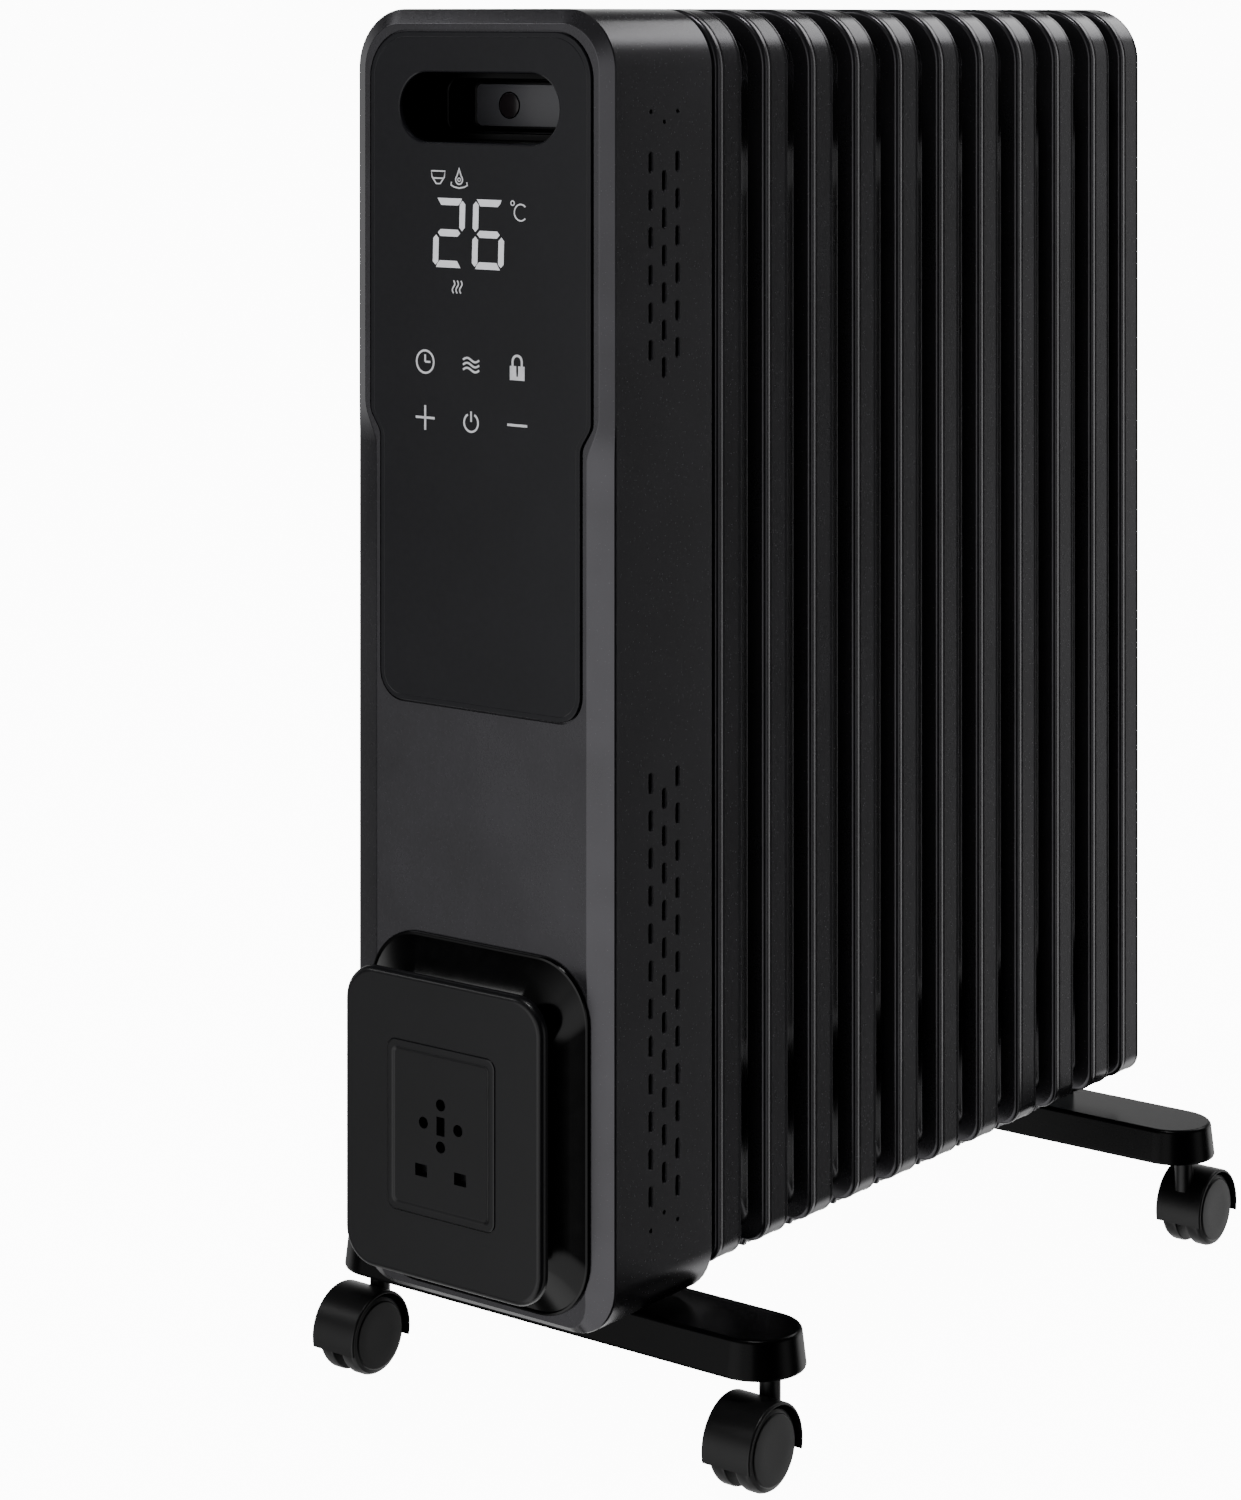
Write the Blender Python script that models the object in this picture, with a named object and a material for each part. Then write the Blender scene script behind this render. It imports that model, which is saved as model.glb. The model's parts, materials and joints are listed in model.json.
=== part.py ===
"""Oil filled radiator heater on four swivel casters.

Metres, +Z up. The control panel faces -Y, the fin stack runs along +Y, and the
origin is on the floor under the middle of the whole heater. Every sub-part is an
object of its own, and each moving piece has its origin on its joint axis.
"""

import math

import bmesh
import bpy
from mathutils import Matrix, Vector

# Overall sizes
HEIGHT = 0.640
WIDTH = 0.147
CLEAR = 0.0003            # gap between two pieces that touch
RUNNING = 0.00006         # radial clearance of a turning fit
SOFT_EDGE = 0.0006        # small chamfer on moulded and turned edges

# Casters
WHEEL_RADIUS = 0.0184
WHEEL_WIDTH = 0.0092
WEB_HALF_WIDTH = 0.0021   # the hood's wall between its two wheels
WHEEL_SIDE_GAP = 0.0006
HOOD_GAP = 0.0009         # between the tread and the hood
HOOD_WALL = 0.0013
HOOD_LIP = 0.0010         # how far the hood's rim covers the wheel's outer face
HOOD_DROP = 0.0046        # how far the hood reaches below the axle
CASTER_OFFSET = 0.0133
AXLE_RADIUS = 0.0025
AXLE_COVER = 0.0023       # wheel left closed over the end of the axle
STEM_RADIUS = 0.0030
BOSS_WALL = 0.0018
BOSS_SINK = 0.0077        # boss rooted below the top of the wheel space
STEM_SINK = 0.0007
STEM_CAP = 0.0036         # foot left closed over the stem
WHEEL_INNER = WEB_HALF_WIDTH + WHEEL_SIDE_GAP
WHEEL_OUTER = WHEEL_INNER + WHEEL_WIDTH
HOOD_HALF_WIDTH = WHEEL_OUTER + HOOD_LIP
HOOD_INNER = WHEEL_RADIUS + HOOD_GAP
HOOD_RADIUS = HOOD_INNER + HOOD_WALL
BOSS_RADIUS = STEM_RADIUS + BOSS_WALL
AXLE_HALF = WHEEL_OUTER - AXLE_COVER

# Feet
FOOT_LENGTH = 0.2550
FOOT_WIDTH = 0.0441
FOOT_HEIGHT = 0.0174
FOOT_DRAFT = 0.0017
CASTER_RISE = 0.0107      # foot above the top of the wheels
STEM_INSET = 0.0148       # stem from the end of the foot
HOUSING_GAP = 0.0016      # housing above the foot
SADDLE_HEIGHT = 0.0110    # fins above the foot
FOOT_BOTTOM = 2 * WHEEL_RADIUS + CASTER_RISE
FOOT_TOP = FOOT_BOTTOM + FOOT_HEIGHT
STEM_X = FOOT_LENGTH / 2 - STEM_INSET

# Fin stack
FIN_COUNT = 11
FIN_PITCH = 0.0366
LAST_PITCH = 0.0308
FIN_BAND = 0.0187
FIN_TOP_RADIUS = 0.027
FIN_BOTTOM_RADIUS = 0.017
FIN_NOSE = 0.0022
FIN_RIM = 0.0095          # flat border before the pressed web
FIN_DRAW = 0.0055         # length of the slope down to the web
FIN_WEB = 0.0096          # thickness of the pressed web
HEADER_RADIUS = 0.021
HEADER_BORE = 0.0135
HEADER_INSET = 0.046      # header axis from the end of the fin
HEADER_PROUD = 0.0006     # the first and last header past the fin
FIN_BOTTOM = FOOT_TOP + SADDLE_HEIGHT
UPPER_HEADER_Z = HEIGHT - HEADER_INSET
LOWER_HEADER_Z = FIN_BOTTOM + HEADER_INSET

# Housing
HOUSING_DEPTH = 0.074
HOUSING_SEAM = 0.0034
HOUSING_BOTTOM = FOOT_TOP + HOUSING_GAP
HOUSING_BOTTOM_RADIUS = 0.023
HOUSING_WALL = 0.0024
BEVEL_WIDTH = 0.0069
BEVEL_DEPTH = 0.0032
BULKHEAD_THICK = 0.0016
BULKHEAD_INSET = 0.0022
BULKHEAD_BORE_GAP = 0.0040

# Cord winder and plug parking socket
WINDER_RISE = 0.0835      # winder's middle above the housing's bottom
WINDER_Z = HOUSING_BOTTOM + WINDER_RISE
NECK_BASE_MARGIN = 0.0115
NECK_BASE_WIDTH = WIDTH - 2 * NECK_BASE_MARGIN
NECK_BASE_HEIGHT = 0.1560
NECK_WIDTH = 0.0860
NECK_HEIGHT = 0.1040
NECK_REACH = 0.0210
NECK_RADIUS = 0.0170
NECK_BASE_RADIUS = 0.0270
PLATE_WIDTH = 0.1126
PLATE_HEIGHT = 0.1330
PLATE_THICK = 0.0050
PLATE_RADIUS = 0.0160
PLATE_ROUND = 0.0011
SOCKET_WIDTH = 0.0614
SOCKET_HEIGHT = 0.0750
SOCKET_RADIUS = 0.0045
SOCKET_FLOOR = 0.0014     # plate left under the socket
SOCKET_DEEP = PLATE_THICK - SOCKET_FLOOR
SOCKET_PROUD = 0.0006
SOCKET_RIM = 0.0036
PIN_RISE = 0.0033         # middle of the pin pattern above the plate's middle
PIN_PITCH = 0.0222
PIN_DROP = 0.0210
PIN_HALF_WIDTH = 0.0033
PIN_HALF_HEIGHT = 0.0026
ROUND_HOLE = 0.0022
ROUND_SPREAD = 0.0098
ROUND_ABOVE = 0.0093
ROUND_BELOW = 0.0090
SLOT_HALF_WIDTH = 0.0017
SLOT_HALF_HEIGHT = 0.0041

# Control fascia
PANEL_MARGIN = 0.0101     # below the housing's top
PANEL_GAP = 0.1025        # above the winder's neck
PANEL_SIDE_TOP = 0.0104
PANEL_SIDE_LOW = 0.0164
PANEL_LOW_LENGTH = 0.1175 # from the lower end to the step
PANEL_STEP = 0.0130
PANEL_TOP_RADIUS = 0.021
PANEL_BOTTOM_RADIUS = 0.0125
PANEL_THICK = 0.0022
PANEL_PROUD = 0.0010
PANEL_EDGE = 0.0005
PANEL_TOP = HEIGHT - PANEL_MARGIN
PANEL_BOTTOM = WINDER_Z + NECK_BASE_HEIGHT / 2 + PANEL_GAP
PANEL_TOP_WIDTH = WIDTH - 2 * PANEL_SIDE_TOP
PANEL_LOW_WIDTH = WIDTH - 2 * PANEL_SIDE_LOW
PANEL_STEP_BOTTOM = PANEL_BOTTOM + PANEL_LOW_LENGTH
PANEL_STEP_TOP = PANEL_STEP_BOTTOM + PANEL_STEP

# Vents in both side walls
VENT_LENGTH = 0.0088
VENT_WIDTH = 0.0024
VENT_PITCH = 0.01635
VENT_SPACING = 0.0098
VENT_Y = 0.0380           # middle column behind the housing's face
VENT_TOP_MARGIN = 0.0670
VENT_STEP_MARGIN = 0.0200
VENT_PANEL_DROP = 0.0275
VENT_FLOOR_MARGIN = 0.0500
GLAND_Y = 0.0400
GLAND_RISE = 0.0455
GLAND_BORE = 0.0062
GLAND_RADIUS = 0.0085
GLAND_LENGTH = 0.0080
GLAND_Z = HOUSING_BOTTOM + GLAND_RISE

# Grip pocket
POCKET_WIDTH = 0.0910
POCKET_HEIGHT = 0.0309
POCKET_DROP = 0.0337      # middle below the fascia's top
POCKET_DEPTH = 0.0470
POCKET_LEDGE = 0.0290
POCKET_STEP = 0.0036
POCKET_WALL = 0.0016
POCKET_CENTRE_Z = PANEL_TOP - POCKET_DROP
LENS_X = -0.0204
LENS_RADIUS = 0.0062
LENS_STEM_BORE = 0.0030

# Electrics behind the fascia and on the bulkhead
BOARD_THICK = 0.0016
BOARD_STANDOFF = 0.0012
CONTROL_BOARD_WIDTH = 0.0920
CONTROL_BOARD_HEIGHT = 0.1220
CONTROL_BOARD_DROP = 0.0639
DISPLAY_WIDTH = 0.0570
DISPLAY_HEIGHT = 0.0480
DISPLAY_THICK = 0.0084
DISPLAY_X = -0.0045
DISPLAY_DROP = 0.0659
POWER_BOARD_Y = 0.0360
POWER_BOARD_WIDTH = 0.0880
POWER_BOARD_HEIGHT = 0.1250
POWER_BOARD_DROP = 0.0455 # lower edge below the fascia's lower edge
RELAY_SIZE = (0.0190, 0.0160, 0.0290)
TERMINAL_SIZE = (0.0300, 0.0120, 0.0140)
SWITCH_SIZE = (0.0180, 0.0140, 0.0180)
CUTOUT_RISE = 0.1635
CUTOUT_RADIUS = 0.0085
CUTOUT_THICK = 0.0090
PROBE_RISE = 0.0335
PROBE_X = 0.0300
PROBE_RADIUS = 0.0022

# Heating element
ELEMENT_REACH = 0.2900
ELEMENT_RADIUS = 0.0032
ELEMENT_GAP = 0.0035      # sheath to the header's bore
ELEMENT_HALF = HEADER_BORE - ELEMENT_RADIUS - ELEMENT_GAP
FLANGE_RADIUS = HEADER_RADIUS - 0.0015
FLANGE_SPIGOT = HEADER_BORE - 0.0005
PLUG_HEAD = HEADER_BORE + 0.0040
PLUG_PROUD = 0.0040

# Fixings
FRONT_FOOT_INSET = 0.0116 # front foot's middle before the housing's back
REAR_FOOT_SHIFT = 0.00285 # rear foot's middle behind the clamp
SCREW_INSET = 0.0025      # inside the flat of the housing's bottom
SCREW_X = WIDTH / 2 - HOUSING_BOTTOM_RADIUS - SCREW_INSET
SCREW_SHIFT = 0.0060
SCREW_RADIUS = 0.0020
SCREW_HEAD_RADIUS = 0.0042
SCREW_HEAD = 0.0022
U_BOLT_RADIUS = 0.0025
U_BOLT_GAP = 0.0006
U_BOLT_TAIL = 0.0010      # bolt's ends below the foot
SADDLE_WALL = 0.0060
SADDLE_SHEET = 0.0016
SADDLE_WIDTH = 0.0300
SADDLE_CLEAR = 0.0099     # saddle's cheek beyond the U bolt
NUT_RADIUS = 0.0052
NUT_HEIGHT = 0.0060
WING_REACH = 0.0130
NUT_WELL = 0.0080         # wing nuts sit this deep in the foot's underside
WELL_CLEAR = 0.0015       # well round a wing nut
U_BOLT_HALF = HEADER_RADIUS + U_BOLT_RADIUS + U_BOLT_GAP
STACK_START = HOUSING_DEPTH + HOUSING_SEAM + FIN_BAND / 2
LAST_GAP = STACK_START + (FIN_COUNT - 2) * FIN_PITCH + LAST_PITCH / 2
FOOT_FRONT_Y = HOUSING_DEPTH - FRONT_FOOT_INSET
FOOT_REAR_Y = LAST_GAP + REAR_FOOT_SHIFT

# The long axis is centred on everything that sticks out furthest.
FRONT_REACH = NECK_REACH + PLATE_THICK + CLEAR + SOCKET_PROUD
STACK_BACK = LAST_GAP + LAST_PITCH / 2 + FIN_BAND / 2 + HEADER_PROUD + CLEAR + PLUG_PROUD
BACK_REACH = max(FOOT_REAR_Y + CASTER_OFFSET + HOOD_RADIUS, STACK_BACK)
Y0 = -(BACK_REACH - FRONT_REACH) / 2      # the housing's front face
FIN_START = Y0 + HOUSING_DEPTH + HOUSING_SEAM


# ---------------------------------------------------------------- materials

def hex_colour(text):
    """sRGB hex to linear RGBA."""
    parts = [int(text[i:i + 2], 16) / 255 for i in (0, 2, 4)]
    linear = [c / 12.92 if c <= 0.04045 else ((c + 0.055) / 1.055) ** 2.4 for c in parts]
    return (*linear, 1.0)


FINISHES = {
    "gunmetal_paint": ("4b4c50", 0.75, 0.38, 0.0),
    "gloss_black": ("0d0e11", 0.0, 0.10, 0.4),
    "satin_black": ("1c1c1f", 0.0, 0.42, 0.0),
    "steel": ("a9abad", 1.0, 0.32, 0.0),
    "zinc_plate": ("8f9294", 1.0, 0.42, 0.0),
    "board_green": ("1f5a3a", 0.0, 0.55, 0.0),
    "white_plastic": ("d9d9d4", 0.0, 0.45, 0.0),
    "relay_blue": ("2b4a86", 0.0, 0.45, 0.0),
    "display_black": ("08090b", 0.0, 0.12, 0.3),
    "lens_red": ("2a0709", 0.0, 0.06, 0.2),
    "brass": ("a98b4a", 1.0, 0.34, 0.0),
    "incoloy": ("6d6a66", 1.0, 0.48, 0.0),
    "rubber": ("141414", 0.0, 0.75, 0.0),
}


def material(name):
    made = bpy.data.materials.get(name)
    if made:
        return made
    colour, metallic, roughness, coat = FINISHES[name]
    made = bpy.data.materials.new(name)
    made.use_nodes = True
    shader = made.node_tree.nodes["Principled BSDF"]
    shader.inputs["Base Color"].default_value = hex_colour(colour)
    shader.inputs["Metallic"].default_value = metallic
    shader.inputs["Roughness"].default_value = roughness
    shader.inputs["Coat Weight"].default_value = coat
    made.diffuse_color = hex_colour(colour)
    return made


# ------------------------------------------------------------ mesh building

def new_object(name, mesh):
    obj = bpy.data.objects.new(name, mesh)
    bpy.context.scene.collection.objects.link(obj)
    return obj


def finish(obj, name, finish_name, angle=32.0):
    """Names the object, gives it its material and smooths all but its sharp edges."""
    obj.name = name
    obj.data.name = name
    obj.data.materials.clear()
    obj.data.materials.append(material(finish_name))
    obj.data.shade_smooth()
    obj.data.set_sharp_from_angle(angle=math.radians(angle))
    return obj


def mesh_from(points, faces, name="shape"):
    mesh = bpy.data.meshes.new(name)
    mesh.from_pydata([tuple(p) for p in points], [], faces)
    work = bmesh.new()
    work.from_mesh(mesh)
    bmesh.ops.remove_doubles(work, verts=work.verts, dist=1e-7)
    bmesh.ops.recalc_face_normals(work, faces=work.faces)
    work.to_mesh(mesh)
    work.free()
    return mesh


def loft(rings, name="shape"):
    """A closed body through rings of equal length, with a flat cap at each end."""
    count = len(rings[0])
    points = [p for ring in rings for p in ring]
    faces = [tuple(range(count))]
    for level in range(len(rings) - 1):
        low, high = level * count, (level + 1) * count
        for i in range(count):
            j = (i + 1) % count
            faces.append((low + i, low + j, high + j, high + i))
    last = (len(rings) - 1) * count
    faces.append(tuple(range(last, last + count)))
    return new_object(name, mesh_from(points, faces))


def rounded_rect(half_width, low, high, low_radius, high_radius, steps=5):
    """(x, z) points round a rounded rectangle, the same number for every size."""
    points = []
    corners = (
        (half_width - low_radius, low + low_radius, low_radius, -90),
        (half_width - high_radius, high - high_radius, high_radius, 0),
        (-half_width + high_radius, high - high_radius, high_radius, 90),
        (-half_width + low_radius, low + low_radius, low_radius, 180),
    )
    for x, z, radius, start in corners:
        for step in range(steps):
            turn = math.radians(start + 90 * step / (steps - 1))
            points.append((x + radius * math.cos(turn), z + radius * math.sin(turn)))
    return points


def along_y(points, y):
    return [Vector((x, y, z)) for x, z in points]


def slab(points, y_low, y_high, name="shape"):
    """An (x, z) outline given thickness along Y."""
    return loft([along_y(points, y_low), along_y(points, y_high)], name)


def box(low, high, name="shape"):
    corners = [Vector((x, y, z)) for z in (low[2], high[2])
               for x, y in ((low[0], low[1]), (high[0], low[1]),
                            (high[0], high[1]), (low[0], high[1]))]
    return loft([corners[:4], corners[4:]], name)


AXES = {
    "X": Matrix(((0, 0, 1), (1, 0, 0), (0, 1, 0))),
    "Y": Matrix(((0, 1, 0), (0, 0, 1), (1, 0, 0))),
    "Z": Matrix.Identity(3),
}


def turned(profile, axis, centre, steps=24, name="shape"):
    """A body turned from (radius, height) points; the profile runs from axis to axis."""
    frame = AXES[axis]
    centre = Vector(centre)
    points, faces, rings = [], [], []
    for radius, height in profile:
        if radius < 1e-9:
            rings.append([len(points)])
            points.append(centre + frame @ Vector((0, 0, height)))
            continue
        ring = []
        for i in range(steps):
            turn = 2 * math.pi * i / steps
            ring.append(len(points))
            place = Vector((radius * math.cos(turn), radius * math.sin(turn), height))
            points.append(centre + frame @ place)
        rings.append(ring)
    for a, b in zip(rings, rings[1:]):
        for i in range(steps):
            j = (i + 1) % steps
            corners = [a[i % len(a)], a[j % len(a)], b[j % len(b)], b[i % len(b)]]
            face = tuple(dict.fromkeys(corners))
            if len(face) > 2:
                faces.append(face)
    return new_object(name, mesh_from(points, faces))


def rod(radius, low, high, axis, centre, steps=24, chamfer=0.0, name="shape"):
    """A solid cylinder, with an optional chamfer at both ends."""
    if chamfer:
        profile = [(0, low), (radius - chamfer, low), (radius, low + chamfer),
                   (radius, high - chamfer), (radius - chamfer, high), (0, high)]
    else:
        profile = [(0, low), (radius, low), (radius, high), (0, high)]
    return turned(profile, axis, centre, steps, name)


def tube_along(path, radius, steps=10, name="shape"):
    """A round bar along a path of points, closed at both ends."""
    rings = []
    side = None
    for i, point in enumerate(path):
        ahead = (path[min(i + 1, len(path) - 1)] - path[max(i - 1, 0)]).normalized()
        if side is None:
            side = ahead.orthogonal().normalized()
        side = (side - ahead * side.dot(ahead)).normalized()
        other = ahead.cross(side)
        rings.append([point + radius * (math.cos(t) * side + math.sin(t) * other)
                      for t in (2 * math.pi * k / steps for k in range(steps))])
    return loft(rings, name)


def combine(target, tool, operation):
    """Joins or cuts two bodies and keeps the result in target."""
    modifier = target.modifiers.new("combine", "BOOLEAN")
    modifier.object = tool
    modifier.operation = operation
    modifier.solver = "EXACT"
    graph = bpy.context.evaluated_depsgraph_get()
    mesh = bpy.data.meshes.new_from_object(target.evaluated_get(graph))
    target.modifiers.clear()
    target.data = mesh
    bpy.data.objects.remove(tool)
    work = bmesh.new()
    work.from_mesh(mesh)
    bmesh.ops.remove_doubles(work, verts=work.verts, dist=1e-6)
    bmesh.ops.dissolve_limit(work, angle_limit=math.radians(0.05), verts=work.verts,
                             edges=work.edges)
    work.to_mesh(mesh)
    work.free()
    return target


def cut(target, tool):
    return combine(target, tool, "DIFFERENCE")


def join(target, tool):
    return combine(target, tool, "UNION")


def set_origin(obj, place):
    place = Vector(place)
    obj.data.transform(Matrix.Translation(-place))
    obj.location = place
    return obj


# -------------------------------------------------------------------- fins

def fin_outline(inset):
    return rounded_rect(WIDTH / 2 - inset, FIN_BOTTOM + inset, HEIGHT - inset,
                        max(FIN_BOTTOM_RADIUS - inset, 0.004),
                        max(FIN_TOP_RADIUS - inset, 0.004))


def fin_y(index):
    """The middle of a fin, counted from the control end."""
    start = FIN_START + FIN_BAND / 2 + index * FIN_PITCH
    return start - (FIN_PITCH - LAST_PITCH if index == FIN_COUNT - 1 else 0)


def fin_shape(near, far):
    """One pressed fin about y = 0, with its two headers reaching near and far."""
    half, web = FIN_BAND / 2, FIN_WEB / 2
    stations = (
        (FIN_RIM + FIN_DRAW, -web), (FIN_RIM, -half + SOFT_EDGE), (0.0014, -half),
        (0.0, -half + FIN_NOSE), (0.0, half - FIN_NOSE), (0.0014, half),
        (FIN_RIM, half - SOFT_EDGE), (FIN_RIM + FIN_DRAW, web),
    )
    body = loft([along_y(fin_outline(inset), y) for inset, y in stations])
    for z in (UPPER_HEADER_Z, LOWER_HEADER_Z):
        join(body, rod(HEADER_RADIUS, -near, far, "Y", (0, 0, z), 16))
    cut(body, rod(HEADER_BORE, -near - 0.01, far + 0.01, "Y", (0, 0, LOWER_HEADER_Z), 16))
    return body


def build_fins():
    middle = FIN_PITCH / 2 - CLEAR / 2
    end = LAST_PITCH / 2 - CLEAR / 2
    outer = FIN_BAND / 2 + HEADER_PROUD
    reaches = {0: (outer, middle), FIN_COUNT - 2: (middle, end), FIN_COUNT - 1: (end, outer)}
    shared = None
    for index in range(FIN_COUNT):
        if index in reaches:
            fin = fin_shape(*reaches[index])
        elif shared is None:
            fin = fin_shape(middle, middle)
            shared = fin.data
        else:
            fin = new_object("fin", shared)
        fin.location.y = fin_y(index)
        name = f"fin_{index + 1:02d}"
        if fin.data is shared and shared.materials:
            fin.name = name
        else:
            finish(fin, name, "gunmetal_paint")


# ----------------------------------------------------------------- housing

def housing_outline(inset):
    return rounded_rect(WIDTH / 2 - inset, HOUSING_BOTTOM + inset, HEIGHT - inset,
                        max(HOUSING_BOTTOM_RADIUS - inset, 0.003),
                        max(FIN_TOP_RADIUS - inset, 0.003), 6)


def vent_rows():
    """(column, z) of each slot, the middle column set half a pitch lower."""
    places = []
    for top, floor, middle_rows in (
            (PANEL_BOTTOM - VENT_PANEL_DROP, HOUSING_BOTTOM + VENT_FLOOR_MARGIN, -1),
            (HEIGHT - VENT_TOP_MARGIN, PANEL_STEP_TOP + VENT_STEP_MARGIN, 0)):
        rows = math.floor((top - floor) / VENT_PITCH) + 1
        for column in (-1, 0, 1):
            high = top - VENT_PITCH / 2 if column == 0 else top
            count = rows + middle_rows if column == 0 else rows
            places += [(column, high - VENT_PITCH * row) for row in range(count)]
    return places


def vent_cutter():
    work = bmesh.new()
    for column, z in vent_rows():
        y = Y0 + VENT_Y + column * VENT_SPACING
        place = Matrix.Translation((0, y, z))
        size = Matrix.Diagonal((WIDTH + 0.02, VENT_WIDTH, VENT_LENGTH, 1))
        bmesh.ops.create_cube(work, size=1.0, matrix=place @ size)
    mesh = bpy.data.meshes.new("vents")
    work.to_mesh(mesh)
    work.free()
    return new_object("vents", mesh)


def build_housing():
    wall, depth = HOUSING_WALL, HOUSING_DEPTH
    stations = (
        (BEVEL_WIDTH, 0.0), (0.0, BEVEL_DEPTH), (0.0, depth), (wall, depth),
        (wall, BEVEL_DEPTH + wall), (BEVEL_WIDTH + 0.6 * wall, wall),
    )
    shell = loft([along_y(housing_outline(inset), Y0 + y) for inset, y in stations])
    seat = fascia_outline(-CLEAR)
    cut(shell, slab(seat, Y0 - 0.01, Y0 + PANEL_THICK - PANEL_PROUD + CLEAR))
    cut(shell, slab(pocket_outline(-POCKET_WALL - CLEAR), Y0 - 0.01, Y0 + 0.01))
    cut(shell, vent_cutter())
    cut(shell, rod(GLAND_BORE, -WIDTH, 0, "X", (0, Y0 + GLAND_Y, GLAND_Z), 16))
    finish(shell, "housing_shell", "gunmetal_paint")


def bulkhead_y():
    return Y0 + HOUSING_DEPTH - BULKHEAD_INSET - BULKHEAD_THICK


def build_bulkhead():
    edge = HOUSING_WALL + CLEAR
    y_low = bulkhead_y()
    plate = slab(housing_outline(edge), y_low, y_low + BULKHEAD_THICK)
    bore = FLANGE_RADIUS + BULKHEAD_BORE_GAP
    cut(plate, rod(bore, -0.05, 0.05, "Y", (0, y_low, LOWER_HEADER_Z), 24))
    finish(plate, "housing_bulkhead", "zinc_plate")


# ----------------------------------------------------------- control fascia

def fascia_outline(inset):
    """(x, z) outline: wide at the top, an S step each side, narrower below."""
    top, low = PANEL_TOP_WIDTH / 2 - inset, PANEL_LOW_WIDTH / 2 - inset
    roof, floor = PANEL_TOP - inset, PANEL_BOTTOM + inset
    big, small = PANEL_TOP_RADIUS - inset, PANEL_BOTTOM_RADIUS - inset
    right = []
    for step in range(5):
        turn = math.radians(-90 + 22.5 * step)
        right.append((low - small + small * math.cos(turn),
                      floor + small + small * math.sin(turn)))
    for step in range(6):
        t = step / 5
        ease = t * t * (3 - 2 * t)
        height = PANEL_STEP_BOTTOM + (PANEL_STEP_TOP - PANEL_STEP_BOTTOM) * t
        right.append((low + (top - low) * ease, height))
    for step in range(7):
        turn = math.radians(15 * step)
        right.append((top - big + big * math.cos(turn), roof - big + big * math.sin(turn)))
    return right + [(-x, z) for x, z in reversed(right)]


def pocket_outline(inset, step=0.0):
    half = POCKET_HEIGHT / 2 - inset - step
    return rounded_rect(POCKET_WIDTH / 2 - inset, POCKET_CENTRE_Z - half,
                        POCKET_CENTRE_Z + half, half, half, 6)


def build_fascia():
    front = Y0 - PANEL_PROUD
    stations = ((PANEL_EDGE, front), (0.0, front + PANEL_EDGE), (0.0, front + PANEL_THICK))
    plate = loft([along_y(fascia_outline(inset), y) for inset, y in stations])
    cut(plate, slab(pocket_outline(0.0), Y0 - 0.01, Y0 + 0.01))
    finish(plate, "control_fascia", "gloss_black")


def build_pocket():
    """The finger pocket behind the fascia: a wide mouth and a shallower inner part."""
    front = Y0 + PANEL_THICK - PANEL_PROUD + CLEAR
    wall, step = POCKET_WALL, POCKET_STEP
    ledge, back = Y0 + POCKET_LEDGE, Y0 + POCKET_DEPTH
    rings = (
        (0.0, 0.0, front), (0.0, 0.0, ledge), (0.0, step, ledge), (0.0, step, back),
        (-wall, step - wall, back + wall),
        (-wall, step - wall, ledge + wall), (-wall, -wall, ledge + wall),
        (-wall, -wall, front),
    )
    loops = []
    for side, rise, y in rings:
        half = POCKET_HEIGHT / 2 - rise
        outline = rounded_rect(POCKET_WIDTH / 2 - side, POCKET_CENTRE_Z - half,
                               POCKET_CENTRE_Z + half, half - 0.0002, half - 0.0002, 6)
        loops.append(along_y(outline, y))
    count = len(loops[0])
    points = [p for loop in loops for p in loop]
    faces = [tuple(range(3 * count, 4 * count)), tuple(range(4 * count, 5 * count))]
    for a in (0, 1, 2, 4, 5, 6, 7):
        b = (a + 1) % 8
        for i in range(count):
            j = (i + 1) % count
            faces.append((a * count + i, a * count + j, b * count + j, b * count + i))
    tray = new_object("tray", mesh_from(points, faces))
    cut(tray, rod(LENS_STEM_BORE, -0.01, 0.01, "Y", (LENS_X, back, POCKET_CENTRE_Z), 12))
    finish(tray, "grip_pocket", "gloss_black")


def build_lens():
    back = Y0 + POCKET_DEPTH - CLEAR
    profile = [(0, -0.0018), (LENS_RADIUS * 0.7, -0.0015), (LENS_RADIUS, -0.0006),
               (LENS_RADIUS, 0), (0, 0)]
    lens = turned(profile, "Y", (LENS_X, back, POCKET_CENTRE_Z), 20)
    finish(lens, "ir_receiver", "lens_red")


# --------------------------------------------------------------- electrics

def block(middle, size, y_back):
    """A box given by its (x, z) middle, its (x, y, z) size and the plane it stands on."""
    x, z = middle
    return box((x - size[0] / 2, y_back - size[1], z - size[2] / 2),
               (x + size[0] / 2, y_back, z + size[2] / 2))


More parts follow.
